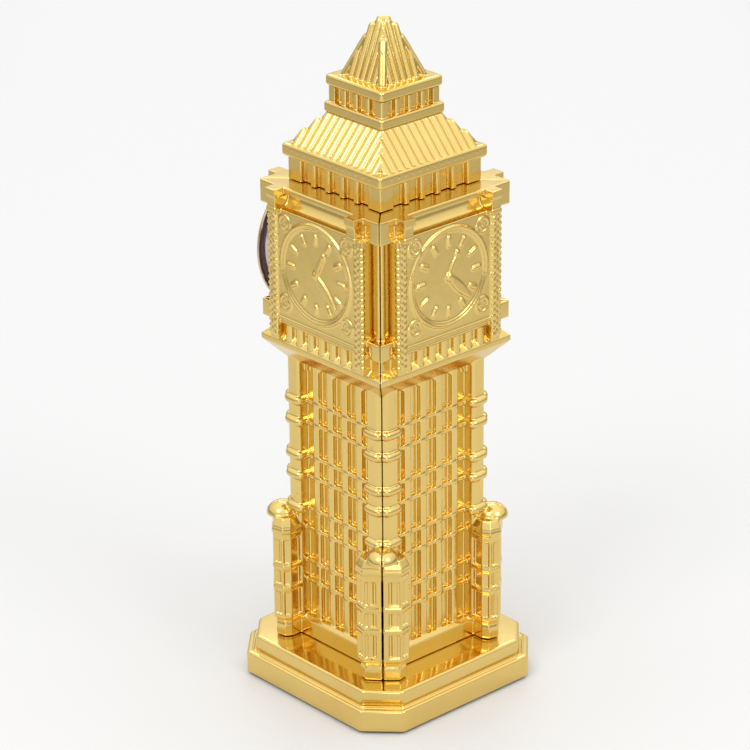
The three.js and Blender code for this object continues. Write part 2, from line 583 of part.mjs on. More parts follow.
function intermediateWheel() {
  const wheel = gear(24, 2.4, 2.1, 0, 17.1, 17.4, IDLER.x, IDLER.z);
  const pinion = gear(8, 0.95, 0.75, 0, 16.3, 17.2, IDLER.x, IDLER.z);
  return wheel.add(pinion).add(turned(discProfile(0.25, BEARING_S, 18), 12, IDLER.x, CLOCK.z + IDLER.z));
}

function rotor() {
  const magnet = turned(discProfile(0.95, 18.2, 19.4), 16, ROTOR.x, CLOCK.z + ROTOR.z);
  const pinion = gear(6, 0.75, 0.55, 0, 16.9, 18.3, ROTOR.x, ROTOR.z);
  return magnet.add(pinion).add(turned(discProfile(0.2, BEARING_S, 20), 12, ROTOR.x, CLOCK.z + ROTOR.z));
}

function platePierced(r, s0, s1, holes) {
  return cut(turned(discProfile(r, s0, s1), 32),
    holes.map(([x, z, hole]) => turned(discProfile(hole, s0 - 1, s1 + 1), 12, x, CLOCK.z + z)));
}

const mainPlate = () => platePierced(PLATE.r, PLATE.low, PLATE.top,
  [[0, 0, 1.2], [MOTION.x, MOTION.z, 0.5], [ROTOR.x, ROTOR.z, 0.4]]);

function rearBridge() {
  const B = BRIDGE;
  const bar = clockBox(B.x0, B.x1, B.low, B.top, -B.below, B.above);
  const spots = [[0, 0], [IDLER.x, IDLER.z], [ROTOR.x, ROTOR.z]];
  return cut(bar, spots.map(([x, z]) => turned(discProfile(B.hole, B.low - 1, B.top + 1), 12, x, CLOCK.z + z)));
}

function stator() {
  const S = STATOR;
  const plate = clockBox(S.x0, S.x1, S.low, S.top, -S.below, -S.above);
  const pole = turned(discProfile(S.poleR, S.low - 1, S.top + 1), 16, ROTOR.x, CLOCK.z + ROTOR.z);
  const slot = clockBox(-S.slotHalf, S.slotHalf, S.low - 1, S.top + 1, -S.below - 1, -S.slotTop);
  return cut(plate, [pole, slot]);
}

function coil() {
  const C = COIL;
  const inner = C.half - C.flange;
  return join([
    alongX(C.wireR, -inner - 0.1, inner + 0.1, C.s, -C.below, 16),
    alongX(C.flangeR, -C.half, -inner, C.s, -C.below, 16),
    alongX(C.flangeR, inner, C.half, C.s, -C.below, 16),
  ]);
}

const circuitBoard = () => clockBox(-BOARD.half, BOARD.half, BOARD.low, BOARD.top, -BOARD.below, -BOARD.above)
  .add(clockBox(-CHIP.half, CHIP.half, BOARD.top - 0.1, CHIP.top, -CHIP.below, -CHIP.above));
const battery = () => turned(discProfile(CELL.r, CELL.low, CELL.top), 32, CELL.x, CLOCK.z + CELL.z)
  .add(turned(discProfile(CELL.capR, CELL.top - 0.1, CELL.capTop), 32, CELL.x, CLOCK.z + CELL.z));

function batteryStrap() {
  const S = STRAP;
  const bend = -S.below + S.legThick;
  return clockBox(S.x0, S.x1, S.low, S.low + S.thick, bend, S.above)
    .add(clockBox(S.x0, S.x1, S.low, S.legTop, -S.below, bend));
}

const crown = () => alongX(CROWN.r, CROWN.x0, CROWN.x1, STEM.s, 0, 20);
const crownStem = () => alongX(STEM.r, STEM.x0, STEM.x1, STEM.s, 0, 12)
  .add(alongX(STEM.collarR, STEM.collarX, STEM.collarX + STEM.collarWidth, STEM.s, 0, 12));
const settingLever = () => clockBox(LEVER.x0, LEVER.x1, LEVER.low, LEVER.top, -LEVER.half, LEVER.half)
  .add(clockBox(LEVER.x0, LEVER.x1, LEVER.low, LEVER.toeTop, -LEVER.toeLow, -LEVER.toeHigh));

// ---------- assembly ----------
addNode('base_pad', basePad(), foam, group);
addNode('base_plinth', basePlinth(), gold);

const WALL_NAMES = ['wall_front', 'wall_right', 'wall_back', 'wall_left'];
const plainWall = wall(false);
WALL_NAMES.forEach((name, quarter) => {
  addNode(name, turnedBy(quarter === 0 ? wall(true) : plainWall, quarter), gold);
});
addNode('roof', roofBody(), gold);
addNode('spire_cap', spireCap(), gold);

screwSpots(BASE_SCREW_AT).forEach(([x, y], index) => {
  addNode(`base_screw_${index + 1}`, screw(x, y, BASE_BOSS_LOW - GAP, BASE_SCREW_END), steel);
});
screwSpots(ROOF_SCREW_AT).forEach(([x, y], index) => {
  addNode(`roof_screw_${index + 1}`, screw(x, y, CAVITY.deckLow - GAP, ROOF_SCREW_END), steel);
});

addNode('clock_case', clockCase(), whitePlastic);
addNode('clock_bezel', clockBezel(), gold);
addNode('clock_lens', clockLens(), glass);
addNode('clock_dial', clockDial(), dialWhite);
addNode('grip_ring', gripRing(), rubber);
addNode('case_back', caseBack(), blackPlastic);
addNode('hour_hand', hand(HOUR, REST_ANGLES.hour), handBlack);
addNode('minute_hand', hand(MINUTE, REST_ANGLES.minute), handBlack);
addNode('second_hand', hand(SECOND, REST_ANGLES.second), handBlack);
addNode('hour_wheel', hourWheel(), brass);
addNode('cannon_pinion', cannonPinion(), brass);
addNode('minute_wheel', minuteWheel(), brass);
addNode('second_wheel', secondWheel(), brass);
addNode('intermediate_wheel', intermediateWheel(), brass);
addNode('rotor', rotor(), steel);
addNode('main_plate', mainPlate(), brass);
addNode('rear_bridge', rearBridge(), brass);
addNode('stator', stator(), steel);
addNode('coil', coil(), copper);
addNode('circuit_board', circuitBoard(), boardGreen);
addNode('battery', battery(), steel);
addNode('battery_strap', batteryStrap(), steel);
addNode('crown', crown(), steel);
addNode('crown_stem', crownStem(), steel);
addNode('setting_lever', settingLever(), steel);

export default group;
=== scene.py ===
"""Looks of the souvenir clock tower: gold-plated castings, a push-in quartz clock, floor, light and camera.

Shapes are drawn in millimetres and turned into metres when a piece is finished. Wall shapes use x across the
face, s outward from the tower's axis and z up from the underside of the gold base.
"""
import json
import math
import random

import bmesh
import bpy
from mathutils import Matrix, Vector


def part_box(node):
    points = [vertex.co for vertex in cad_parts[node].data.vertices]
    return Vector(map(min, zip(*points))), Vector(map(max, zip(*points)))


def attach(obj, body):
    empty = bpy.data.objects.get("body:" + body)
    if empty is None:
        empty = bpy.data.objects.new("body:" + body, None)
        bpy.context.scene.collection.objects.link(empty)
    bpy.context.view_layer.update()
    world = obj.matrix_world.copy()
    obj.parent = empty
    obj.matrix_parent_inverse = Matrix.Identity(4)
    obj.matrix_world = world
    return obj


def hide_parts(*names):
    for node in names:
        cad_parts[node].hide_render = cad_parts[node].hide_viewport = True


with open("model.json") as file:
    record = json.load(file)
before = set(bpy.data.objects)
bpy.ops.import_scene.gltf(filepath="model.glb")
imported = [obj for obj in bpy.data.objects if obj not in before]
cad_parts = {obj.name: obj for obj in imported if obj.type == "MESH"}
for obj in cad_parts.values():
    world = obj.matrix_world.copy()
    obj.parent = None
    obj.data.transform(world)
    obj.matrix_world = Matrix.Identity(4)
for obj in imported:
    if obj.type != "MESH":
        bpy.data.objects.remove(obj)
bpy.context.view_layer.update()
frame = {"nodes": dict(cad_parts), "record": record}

MM = 0.001
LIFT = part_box("base_plinth")[0].z / MM  # the pad lifts the gold base by its own thickness
CLOCK_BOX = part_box("clock_case")
CLOCK_Z = (CLOCK_BOX[0].z + CLOCK_BOX[1].z) / 2 / MM - LIFT
SEAM = 0.09  # half of the open seam between two walls
JOINT = 0.12  # open joint where one casting stands on another

# ---------- sizes, in millimetres ----------
BASE = {"half1": 30.3, "cut1": 8.0, "low": 6.2, "half2": 28.2, "cut2": 7.3, "top": 10.6, "wall": 2.4}
SHAFT = {"back": 13.0, "panel": 15.6, "rib_front": 17.15, "rib_pitch": 5.48, "rib_half": 1.1,
         "rib_foot": 16.2, "rail_half": 0.6, "rail_front": 17.0, "arch_z": 87.9,
         "column": (12.85, 17.25), "column_r": 0.9, "column_front": 18.8, "strip": 17.75,
         "collar_out": 1.05, "collar_half": 1.2, "foot": 18.3, "foot_top": 16.3}
RAILS = [26.5, 32.2, 41.8, 47.5, 56.8, 62.5, 72.0, 78.0]
RINGED_RAILS = RAILS[3:]
TURRET = {"seam": 21.2, "outer": (17.4, 24.5), "front": (14.4, 23.9), "side": (13.2, 22.0),
          "middle": (17.6, 18.6), "back": 14.2, "low": 16.2, "core": 0.8, "window_top": 39.6,
          "cap": 41.6, "eaves": 45.1, "dome": (19.4, 19.4, 4.2), "roof": 47.9}
TURRET_WINDOWS = [(17.0, 24.4), (25.9, 30.6), (32.1, 39.6)]
DOME_TILTS = (0, 12, 25, 38, 50, 62, 74, 84)  # degrees up the turret's dome
STAGE = {"back": 19.8, "flange": 22.6, "bevel_low": 88.5, "flange_low": 94.0, "flange_high": 95.4,
         "core": 20.9, "core_low": 97.0, "arcade_top": 100.5, "arcade_front": 22.5,
         "arcade_pitch": 4.15, "arcade_r": 1.25, "panel": 23.3, "panel_half": 14.6,
         "panel_low": 102.6, "panel_high": 131.8, "pilaster": (14.5, 17.5), "pilaster_front": 24.0,
         "pilaster_top": 131.3, "bead_pitch": 1.65, "corner": 22.35, "recess": 18.4,
         "low_block_top": 105.0, "cap": (13.3, 16.3), "cap_front": 25.4, "rod_x": 19.15,
         "rod_r": 0.85, "rod_sum": 38.6, "trough": 20.2, "trough_top": 135.8, "deck": 137.3,
         "deck_low": 135.3, "deck_hole": 11.0, "square": (16.3, 18.9)}
CORNER_HOLES = {"top": (132.6, 136.0), "foot": (101.4, 103.7)}  # heights of the square recesses
DIAL = {"z": 117.8, "rings": ((12.9, 0.45, 0.2), (12.1, 0.3, 0.05)), "mark": (7.8, 11.0, 0.68),
        "minute": (10.4, 1.05, 135), "hour": (6.2, 0.6, 27), "hand_tail": 0.5, "hand_out": 0.62}
CURLS = {"x": 11.5, "z": 10.7, "rings": ((1.95, 0.42, 36), (0.95, 0.34, 24)), "out": 0.05}
ROOF = {"arcade": 17.1, "recess": 15.8, "bay_pitch": 5.3, "column_half": 0.95, "slab": 18.35,
        "slab_low": 143.6, "slab_top": 146.95, "eaves": 16.9, "neck": 9.5, "neck_z": 155.2,
        "rib_pitch": 2.4, "rib_r": 1.35, "rib_sink": 1.0, "rib_past_hip": 0.25, "low_slab": 10.8,
        "low_slab_top": 158.0, "lantern": 9.9, "lantern_recess": 8.4, "lantern_top": 162.1}
LANTERN_POSTS = ((-8.6, 1.3), (-4.3, 0.85), (0, 0.85), (4.3, 0.85), (8.6, 1.3))  # middle, half width
SPIRE = {"slab": 10.5, "slab_low": 162.22, "slab_top": 165.0, "foot": 7.2, "top": 1.6,
         "top_z": 178.9, "apex": 180.0, "rib_pitch": 2.1, "rib_r": 0.95, "rib_sink": 0.35,
         "hip_r": 1.0, "hip_top": 174.6}

# The insert clock. Turned outlines are (radius, distance outward from the tower's axis).
CLOCK = {"bore": 16.2, "bore_s": (15.0, 30.0), "stem_s": 12.6, "axis": 0.2}
BEZEL_ROLL = (16.4, 27.1, 2.0)  # the round front: middle of its curve, and its radius
BEZEL_EDGE = [(19.7, 26.75), (19.55, 27.1), (18.9, 27.75)]
BEZEL_LIP = [(15.0, 28.2), (14.72, 27.75), (14.7, 26.95), (15.3, 26.9)]
BEZEL_REAR = [(15.5, 26.2), (16.2, 26.15), (16.9, 26.9), (17.9, 27.05), (18.9, 26.6), (19.35, 26.15),
              (19.6, 26.2), (19.7, 26.45)]
LENS = {"r": 14.5, "seat": [(14.3, 27.0), (14.5, 27.1)], "shoulder": 27.55, "rise": 0.85, "top": 28.4}
CASE = [(14.6, 9.5), (15.9, 9.5), (15.9, 19.4), (15.2, 19.4), (15.2, 22.8), (15.9, 22.8), (15.9, 24.4),
        (17.0, 24.4), (17.0, 25.8), (15.3, 25.8), (15.3, 24.0), (1.7, 24.0), (1.7, 23.0), (14.6, 23.0)]
NOTCH = {"x": (12.0, 17.0), "s": (8.5, 15.2), "half": 2.1}
STEM_HOLE = [(11.6, 0.6), (15.6, 0.6)]
POCKET = {"x": (12.6, 13.4, 15.4), "s": (10.7, 15.2, 15.9), "half": (2.3, 2.9), "stem": 0.62}
GRIP = {"r": 15.35, "s": (19.7, 22.5), "flank": 15.85, "valley": 15.96, "ridge": 0.12,
        "first": 19.85, "pitch": 0.4, "ridges": 7}
COVER = [(9.0, 9.75), (9.3, 9.6), (13.9, 9.6), (14.3, 9.8), (14.3, 10.4)]
COVER_WINDOW = {"x": (11.4, 15.0), "s": (9.0, 11.0), "half": 3.2}
COVER_GRIP = {"r": 2.2, "s": (9.0, 9.95), "x": -11.2}
CARD = {"hole": 1.5, "r": 15.0, "back": 24.15, "front": 24.45}
TRACK = {"rings": (13.9, 12.9), "line": 0.09, "ticks": (12.95, 13.95), "hour_half": 0.22,
         "minute_half": 0.07, "ink": (-0.01, 0.02)}
NUMERALS = {"r": 10.7, "size": 3.3, "thick": 0.02}
# Blade and tail are (half width at the start, half width at the end, start, end).
HANDS = {
    "hour": {"blade": (0.62, 0.25, 1.4, 7.6), "tail": (0.5, 0.6, -1.4, -2.0), "s": 24.75, "thick": 0.22,
             "angle": math.radians(300) + 0.09, "hub": 1.7, "hole": 1.05},
    "minute": {"blade": (0.52, 0.2, 1.0, 11.0), "tail": (0.45, 0.5, -1.0, -2.5), "s": 25.2, "thick": 0.2,
               "angle": math.radians(60), "hub": 1.3, "hole": 0.62},
    "second": {"blade": (0.16, 0.1, 0.6, 12.0), "tail": (0.22, 0.3, -0.6, -3.6), "s": 25.65, "thick": 0.15,
               "angle": math.radians(149.4), "hub": 0.9, "hole": 0.33},
}
CROWN = {"stations": ((13.9, 0.86), (14.05, 1.0), (15.15, 1.0), (15.3, 0.88)), "r": 1.44, "flute": 0.06,
         "flutes": 28}
STEM = [(7.5, 0.3), (7.65, 0.4), (9.2, 0.4), (9.2, 0.7), (9.3, 0.75), (9.7, 0.75), (9.8, 0.7), (9.8, 0.4),
        (13.8, 0.4)]
CELL = [(3.9, 11.2), (4.2, 11.45), (4.2, 13.3), (4.05, 13.55), (3.75, 13.58), (3.72, 13.48),
        (3.62, 13.48), (3.6, 13.75), (3.5, 13.8)]
CELL_PLACE = (-3.0, 3.0)
COIL = {"s": 18.8, "z": -9.6, "half": 3.95, "r": 1.17, "wire": 0.035, "turns": 44}
BOBBIN_ENDS = ((-4.6, -3.9), (3.9, 4.6))

# ---------- colours, angles and the camera ----------
GOLD_DEEP = (0.76, 0.55, 0.175)
GOLD_PALE = (0.80, 0.59, 0.205)
GOLD_PIT = (0.5, 0.42, 0.33)
BARE_STEEL = (0.55, 0.46, 0.47, 1.0)
MIX_FIRST, MIX_SECOND, MIX_RESULT = 6, 7, 2  # the colour sockets of a mix node
CREASE_ANGLE = math.radians(35)
SMOOTHING_STEPS = 3
CAMERA_AZIMUTH, CAMERA_ELEVATION, CAMERA_ROLL = (math.radians(angle) for angle in (137.66, 23.13, -0.42))
CAMERA_DISTANCE, CAMERA_HEIGHT, CAMERA_LENS = 0.8715, 0.0907, 163.4  # metres, metres, millimetres
CAMERA_ASIDE, CAMERA_BELOW = -0.0028, -0.00564  # how far the aim is off the tower's axis, in metres
LIGHT_AIM = (0, 0, 0.09)

random.seed(7)


# ---------- materials ----------
def shader(name, **settings):
    """A material with its principled shader's own sockets set; returns the tree and the shader."""
    material = bpy.data.materials.new(name)
    material.use_nodes = True
    tree = material.node_tree
    principled = tree.nodes["Principled BSDF"]
    for socket, value in settings.items():
        principled.inputs[socket.replace("_", " ")].default_value = value
    return material, tree, principled


def node(tree, kind, **inputs):
    made = tree.nodes.new(kind)
    for socket, value in inputs.items():
        made.inputs[socket.replace("_", " ")].default_value = value
    return made


def on_object(tree, kind, **inputs):
    """A pattern node that follows the piece's own coordinates."""
    made = node(tree, kind, **inputs)
    where = tree.nodes.new("ShaderNodeTexCoord")
    tree.links.new(where.outputs["Object"], made.inputs["Vector"])
    return made


def noise(tree, scale, detail=3.0):
    return on_object(tree, "ShaderNodeTexNoise", Scale=scale, Detail=detail)


def split_axes(tree, vector):
    made = tree.nodes.new("ShaderNodeSeparateXYZ")
    tree.links.new(vector, made.inputs["Vector"])
    return made


def ramp(tree, source, stops):
    """A colour ramp over a 0..1 value; stops are (position, colour)."""
    made = tree.nodes.new("ShaderNodeValToRGB")
    elements = made.color_ramp.elements
    while len(elements) < len(stops):
        elements.new(0.5)
    for element, (position, colour) in zip(elements, stops):
        element.position = position
        element.color = (*colour, 1.0)
    tree.links.new(source, made.inputs["Fac"])
    return made


def spread(tree, source, low, high):
    """Maps a 0..1 value to low..high."""
    made = node(tree, "ShaderNodeMapRange", To_Min=low, To_Max=high)
    tree.links.new(source, made.inputs["Value"])
    return made.outputs["Result"]


def mix_colours(tree, first):
    made = tree.nodes.new("ShaderNodeMix")
    made.data_type = "RGBA"
    tree.links.new(first, made.inputs[MIX_FIRST])
    return made


def bump(tree, principled, height, distance, under=None):
    """Adds a bump to the shader's normal; under is another bump node that it sits on."""
    made = node(tree, "ShaderNodeBump", Distance=distance)
    tree.links.new(height, made.inputs["Height"])
    if under:
        tree.links.new(under.outputs["Normal"], made.inputs["Normal"])
    tree.links.new(made.outputs["Normal"], principled.inputs["Normal"])
    return made


def surface(tree, principled, tone, stops, grain, polish, depth):
    """Colour from one pattern; roughness and fine relief from another."""
    colour = ramp(tree, tone, stops)
    tree.links.new(colour.outputs["Color"], principled.inputs["Base Color"])
    tree.links.new(spread(tree, grain, *polish), principled.inputs["Roughness"])
    bump(tree, principled, grain, depth)


def gold(name, roughness_low, roughness_high, ripple, waviness):
    """Bright gold plate: slow changes in polish, soft waves and a faint ripple from casting, tiny pits."""
    material, tree, principled = shader(name, Metallic=1.0)
    broad = noise(tree, 60.0, detail=2.0).outputs["Fac"]
    waves = noise(tree, 190.0, detail=1.5)
    grain = noise(tree, 900.0, detail=4.0)
    pits = noise(tree, 700.0, detail=1.0)
    tone = ramp(tree, broad, [(0.3, GOLD_DEEP), (0.7, GOLD_PALE)])
    pitted = ramp(tree, pits.outputs["Fac"], [(0.17, GOLD_PIT), (0.19, (1.0, 1.0, 1.0))])
    mixed = mix_colours(tree, tone.outputs["Color"])
    mixed.blend_type = "MULTIPLY"
    mixed.inputs["Factor"].default_value = 1.0
    tree.links.new(pitted.outputs["Color"], mixed.inputs[MIX_SECOND])
    tree.links.new(mixed.outputs[MIX_RESULT], principled.inputs["Base Color"])
    tree.links.new(spread(tree, broad, roughness_low, roughness_high), principled.inputs["Roughness"])
    soft = bump(tree, principled, waves.outputs["Fac"], waviness)
    bump(tree, principled, grain.outputs["Fac"], ripple, under=soft)
    return material


def pressed_gold():
    """The bezel's ring: gold in front, bare bright steel on the side that faces the wall."""
    material = gold("gold_bezel", 0.1, 0.18, 0.000002, 0.00001)
    tree = material.node_tree
    principled = tree.nodes["Principled BSDF"]
    polished = principled.inputs["Base Color"].links[0].from_socket
    where = tree.nodes.new("ShaderNodeTexCoord")
    facing = split_axes(tree, where.outputs["Normal"])
    rear = node(tree, "ShaderNodeMapRange", From_Min=0.05, From_Max=0.3)
    tree.links.new(facing.outputs["Y"], rear.inputs["Value"])
    mixed = mix_colours(tree, polished)
    tree.links.new(rear.outputs["Result"], mixed.inputs["Factor"])
    mixed.inputs[MIX_SECOND].default_value = BARE_STEEL
    tree.links.new(mixed.outputs[MIX_RESULT], principled.inputs["Base Color"])
    return material


def plain_metal(name, dark, light, roughness, scratch_scale, depth):
    """Machined or stamped metal: two tones of colour along fine drawn scratches."""
    material, tree, principled = shader(name, Metallic=1.0)
    stretch = on_object(tree, "ShaderNodeMapping", Scale=(1.0, 0.12, 1.0))
    scratches = node(tree, "ShaderNodeTexNoise", Scale=scratch_scale, Detail=5.0)
    tree.links.new(stretch.outputs["Vector"], scratches.inputs["Vector"])
    lines = scratches.outputs["Fac"]
    surface(tree, principled, lines, [(0.35, dark), (0.65, light)], lines,
            (roughness * 0.75, roughness * 1.3), depth)
    return material


def moulded(name, dark, light, roughness, grain_scale, depth, **settings):
    """Moulded plastic, rubber or printed card: soft mottle, fine grain, and a roughness that follows it."""
    material, tree, principled = shader(name, **settings)
    mottle = noise(tree, grain_scale * 0.12, detail=2.0)
    grain = noise(tree, grain_scale, detail=4.0)
    surface(tree, principled, mottle.outputs["Fac"], [(0.35, dark), (0.65, light)], grain.outputs["Fac"],
            (roughness * 0.8, min(1.0, roughness * 1.2)), depth)
    return material


def foam():
    """Dark anti-scratch pad: matt cells with short fibres that catch a little light."""
    material, tree, principled = shader("foam_pad", Sheen_Weight=0.35, Sheen_Roughness=0.6)
    cells = on_object(tree, "ShaderNodeTexVoronoi", Scale=2600.0).outputs["Distance"]
    surface(tree, principled, cells, [(0.1, (0.008, 0.007, 0.006)), (0.7, (0.03, 0.027, 0.024))], cells,
            (0.85, 1.0), 0.0002)
    return material


def clear_lens():
    """Clear moulded lens with a faint change of polish."""
    material, tree, principled = shader("clear_lens", Base_Color=(0.97, 0.985, 0.98, 1.0), IOR=1.47,
                                        Transmission_Weight=1.0)
    haze = noise(tree, 260.0)
    tree.links.new(spread(tree, haze.outputs["Fac"], 0.0, 0.05), principled.inputs["Roughness"])
    return material


def windings():
    """Enamelled copper wire: close turns along x, coloured with a painted highlight on each crest and painted
    shade between the turns.
    """
    material, tree, principled = shader("copper_windings", Metallic=0.9, Coat_Weight=0.4, Coat_Roughness=0.1)
    wave = on_object(tree, "ShaderNodeTexWave", Scale=2600.0, Distortion=0.3)
    wave.bands_direction = "X"
    turns = wave.outputs["Fac"]
    # painted highlight and shade: light copper on each turn's crest, dark copper between the turns; the same
    # bands also set roughness and relief
    surface(tree, principled, turns, [(0.1, (0.22, 0.06, 0.02)), (0.8, (0.66, 0.27, 0.11))], turns,
            (0.42, 0.24), 0.00004)
    return material


def board():
    """Green circuit board: solder mask over a faint glass weave."""
    material, tree, principled = shader("circuit_board_mask", Coat_Weight=0.5, Coat_Roughness=0.15)
    weave = on_object(tree, "ShaderNodeTexBrick", Scale=900.0, Mortar_Size=0.03,
                      Color1=(0.012, 0.12, 0.05, 1.0), Color2=(0.015, 0.15, 0.065, 1.0),
                      Mortar=(0.03, 0.2, 0.1, 1.0))
    tree.links.new(weave.outputs["Color"], principled.inputs["Base Color"])
    tree.links.new(spread(tree, weave.outputs["Fac"], 0.35, 0.5), principled.inputs["Roughness"])
    bump(tree, principled, weave.outputs["Fac"], 0.00001)
    return material


FINISH = {
    "gold": gold("gold_plate", 0.13, 0.2, 0.000004, 0.00009),
    "foam": foam(),
    "steel": plain_metal("bright_steel", (0.50, 0.51, 0.53), (0.70, 0.71, 0.73), 0.26, 2400.0, 0.00001),
    "brass": plain_metal("stamped_brass", (0.62, 0.43, 0.15), (0.80, 0.60, 0.26), 0.28, 1800.0, 0.00001),
    "white_plastic": moulded("white_plastic", (0.70, 0.68, 0.74), (0.78, 0.76, 0.82), 0.38, 1800.0,
                             0.00001),
    "black_plastic": moulded("black_plastic", (0.012, 0.012, 0.013), (0.022, 0.022, 0.024), 0.42, 2200.0,
                             0.00002),
    "rubber": moulded("grip_rubber", (0.015, 0.015, 0.016), (0.035, 0.034, 0.034), 0.72, 1500.0, 0.00003),
    "lens": clear_lens(),
    "dial": moulded("dial_card", (0.84, 0.83, 0.79), (0.90, 0.89, 0.86), 0.5, 3000.0, 0.000004),
    "hand_black": moulded("satin_black", (0.006, 0.006, 0.007), (0.014, 0.014, 0.016), 0.3, 1200.0,
                          0.000005, Coat_Weight=0.3, Coat_Roughness=0.15),
    "copper": windings(),
    "board": board(),
}
MIRROR_GOLD = gold("gold_plate_base", 0.1, 0.15, 0.000003, 0.00002)


# ---------- shapes ----------
def arc(cx, cy, r, start, end, steps):
    """Points on an arc, angles in degrees."""
    turns = [math.radians(start + (end - start) * i / steps) for i in range(steps + 1)]
    return [(cx + r * math.cos(t), cy + r * math.sin(t)) for t in turns]


def around(sides):
    """The angles of one full turn in equal steps."""
    return [math.tau * i / sides for i in range(sides)]


def cut_square(half, leg, corner_r=0.0, steps=3):
    """A square plan with its corners cut at 45 degrees; corner_r rounds the eight corners."""
    near = half - leg
    corners = [(-near, -half), (near, -half), (half, -near), (half, near),
               (near, half), (-near, half), (-half, near), (-half, -near)]
    if not corner_r:
        return corners
    points = []
    for i, corner in enumerate(corners):
        here = Vector(corner)
        before = (Vector(corners[i - 1]) - here).normalized() * corner_r
        after = (Vector(corners[(i + 1) % 8]) - here).normalized() * corner_r
        for j in range(steps + 1):
            t = j / steps
            points.append(tuple(here + before * (1 - t) ** 2 + after * t ** 2))
    return points


class Casting:
    """Overlapping closed shapes that are fused into one cast body."""

    def __init__(self):
        self.bm = bmesh.new()

    def loft(self, loops, ring=False):
        rows = [[self.bm.verts.new((x, -s, z + LIFT)) for x, s, z in loop] for loop in loops]
        count = len(rows[0])
        following = rows[1:] + rows[:1] if ring else rows[1:]
        for low, high in zip(rows, following):
            for i in range(count):
                j = (i + 1) % count
                self.bm.faces.new((low[i], low[j], high[j], high[i]))
        if not ring:
            self.bm.faces.new(rows[0][::-1])
            self.bm.faces.new(rows[-1])

    def box(self, x0, x1, s0, s1, z0, z1):
        self.loft([[(x0, s0, z), (x1, s0, z), (x1, s1, z), (x0, s1, z)] for z in (z0, z1)])

    def plan(self, levels):
        """levels: (outline in x and s, z) from low to high."""
        self.loft([[(x, s, z) for x, s in outline] for outline, z in levels])

    def across(self, profile, x0, x1):
        self.loft([[(x, s, z) for s, z in profile] for x in (x0, x1)])

    def relief(self, outline, s0, s1):
        self.loft([[(x, s, z) for x, z in outline] for s in (s0, s1)])

    def rod(self, start, end, r, sides=12):
        """A round bar with rounded ends."""
        a, b = Vector(start), Vector(end)
        along = (b - a).normalized()
        side = along.orthogonal().normalized()
        other = along.cross(side)
        ends = [(-0.9, 0.35), (-0.6, 0.8), (0.0, 1.0)]  # past the end and width, in radii
        stations = [(a + along * r * d, w) for d, w in ends]
        stations += [(b - along * r * d, w) for d, w in ends[::-1]]
        self.loft([[tuple(centre + (side * math.cos(t) + other * math.sin(t)) * r * width)
                    for t in around(sides)] for centre, width in stations])

    def bead(self, x, s, z, rx, rs, rz):
        rings, sides = 7, 12
        loops = []
        for i in range(1, rings):
            tilt = math.pi * i / rings
            radius, height = math.sin(tilt), -math.cos(tilt)
            loops.append([(x + rx * radius * math.cos(t), s + rs * radius * math.sin(t), z + rz * height)
                          for t in around(sides)])
        self.loft(loops)

    def hoop(self, x, z, s, big, small, sides):
        """A round ring that lies in the face."""
        section = arc(0, 0, small, 0, 315, 7)
        self.loft([[(x + (big + a) * math.cos(t), s + b, z + (big + a) * math.sin(t)) for a, b in section]
                   for t in around(sides)], ring=True)

    def lathe(self, profile, sides):
        """A turned solid about the clock's axis; the profile (r, s) closes on itself."""
        self.loft([[(r * math.cos(t), s, CLOCK_Z + r * math.sin(t)) for r, s in profile]
                   for t in around(sides)], ring=True)

    def turn(self, profile, sides, x=0.0, z=CLOCK_Z):
        """A turned solid about the outward axis through (x, z), closed flat at both ends of its profile."""
        self.loft([[(x + r * math.cos(t), s, z + r * math.sin(t)) for t in around(sides)]
                   for r, s in profile])

    def bar(self, stations, s, z):
        """A turned solid about an axis along x; stations are (x, radius)."""
        sides = 40
        self.loft([[(x, s + r * math.cos(t), z + r * math.sin(t)) for t in around(sides)]
                   for x, r in stations])

    def disc(self, r, s0, s1, sides, x=0.0):
        """A plain round plate at the clock's height."""
        self.relief([(x + r * math.cos(t), CLOCK_Z + r * math.sin(t)) for t in around(sides)], s0, s1)

    def copies(self):
        """Repeats what is drawn so far on the other three sides of the tower."""
        first = self.bm.verts[:] + self.bm.edges[:] + self.bm.faces[:]
        for quarter in (1, 2, 3):
            new = bmesh.ops.duplicate(self.bm, geom=first)["geom"]
            verts = [v for v in new if isinstance(v, bmesh.types.BMVert)]
            bmesh.ops.rotate(self.bm, verts=verts, matrix=Matrix.Rotation(math.pi / 2 * quarter, 3, "Z"))

    def mitre(self, gap=SEAM):
        """Keeps the quarter of the tower that belongs to the front wall, less the gap."""
        for side in (1, -1):
            geometry = self.bm.verts[:] + self.bm.edges[:] + self.bm.faces[:]
            bmesh.ops.bisect_plane(self.bm, geom=geometry, plane_co=(0, -gap * math.sqrt(2), 0),
                                   plane_no=(side, 1, 0), clear_outer=True)
            open_edges = [edge for edge in self.bm.edges if edge.is_boundary]
            bmesh.ops.holes_fill(self.bm, edges=open_edges, sides=0)

    def to_object(self, name):
        bmesh.ops.recalc_face_normals(self.bm, faces=self.bm.faces[:])
        mesh = bpy.data.meshes.new(name)
        self.bm.to_mesh(mesh)
        self.bm.free()
        return link_object(name, mesh)


def link_object(name, data):
    made = bpy.data.objects.new(name, data)
    bpy.context.scene.collection.objects.link(made)
    return made


def evaluated_mesh(obj):
    """A new mesh of an object as its modifiers or its text settings make it."""
    bpy.context.view_layer.update()
    evaluated = obj.evaluated_get(bpy.context.evaluated_depsgraph_get())
    return bpy.data.meshes.new_from_object(evaluated)


def apply_modifiers(obj):
    mesh = evaluated_mesh(obj)
    obj.modifiers.clear()
    old = obj.data
    obj.data = mesh
    bpy.data.meshes.remove(old)


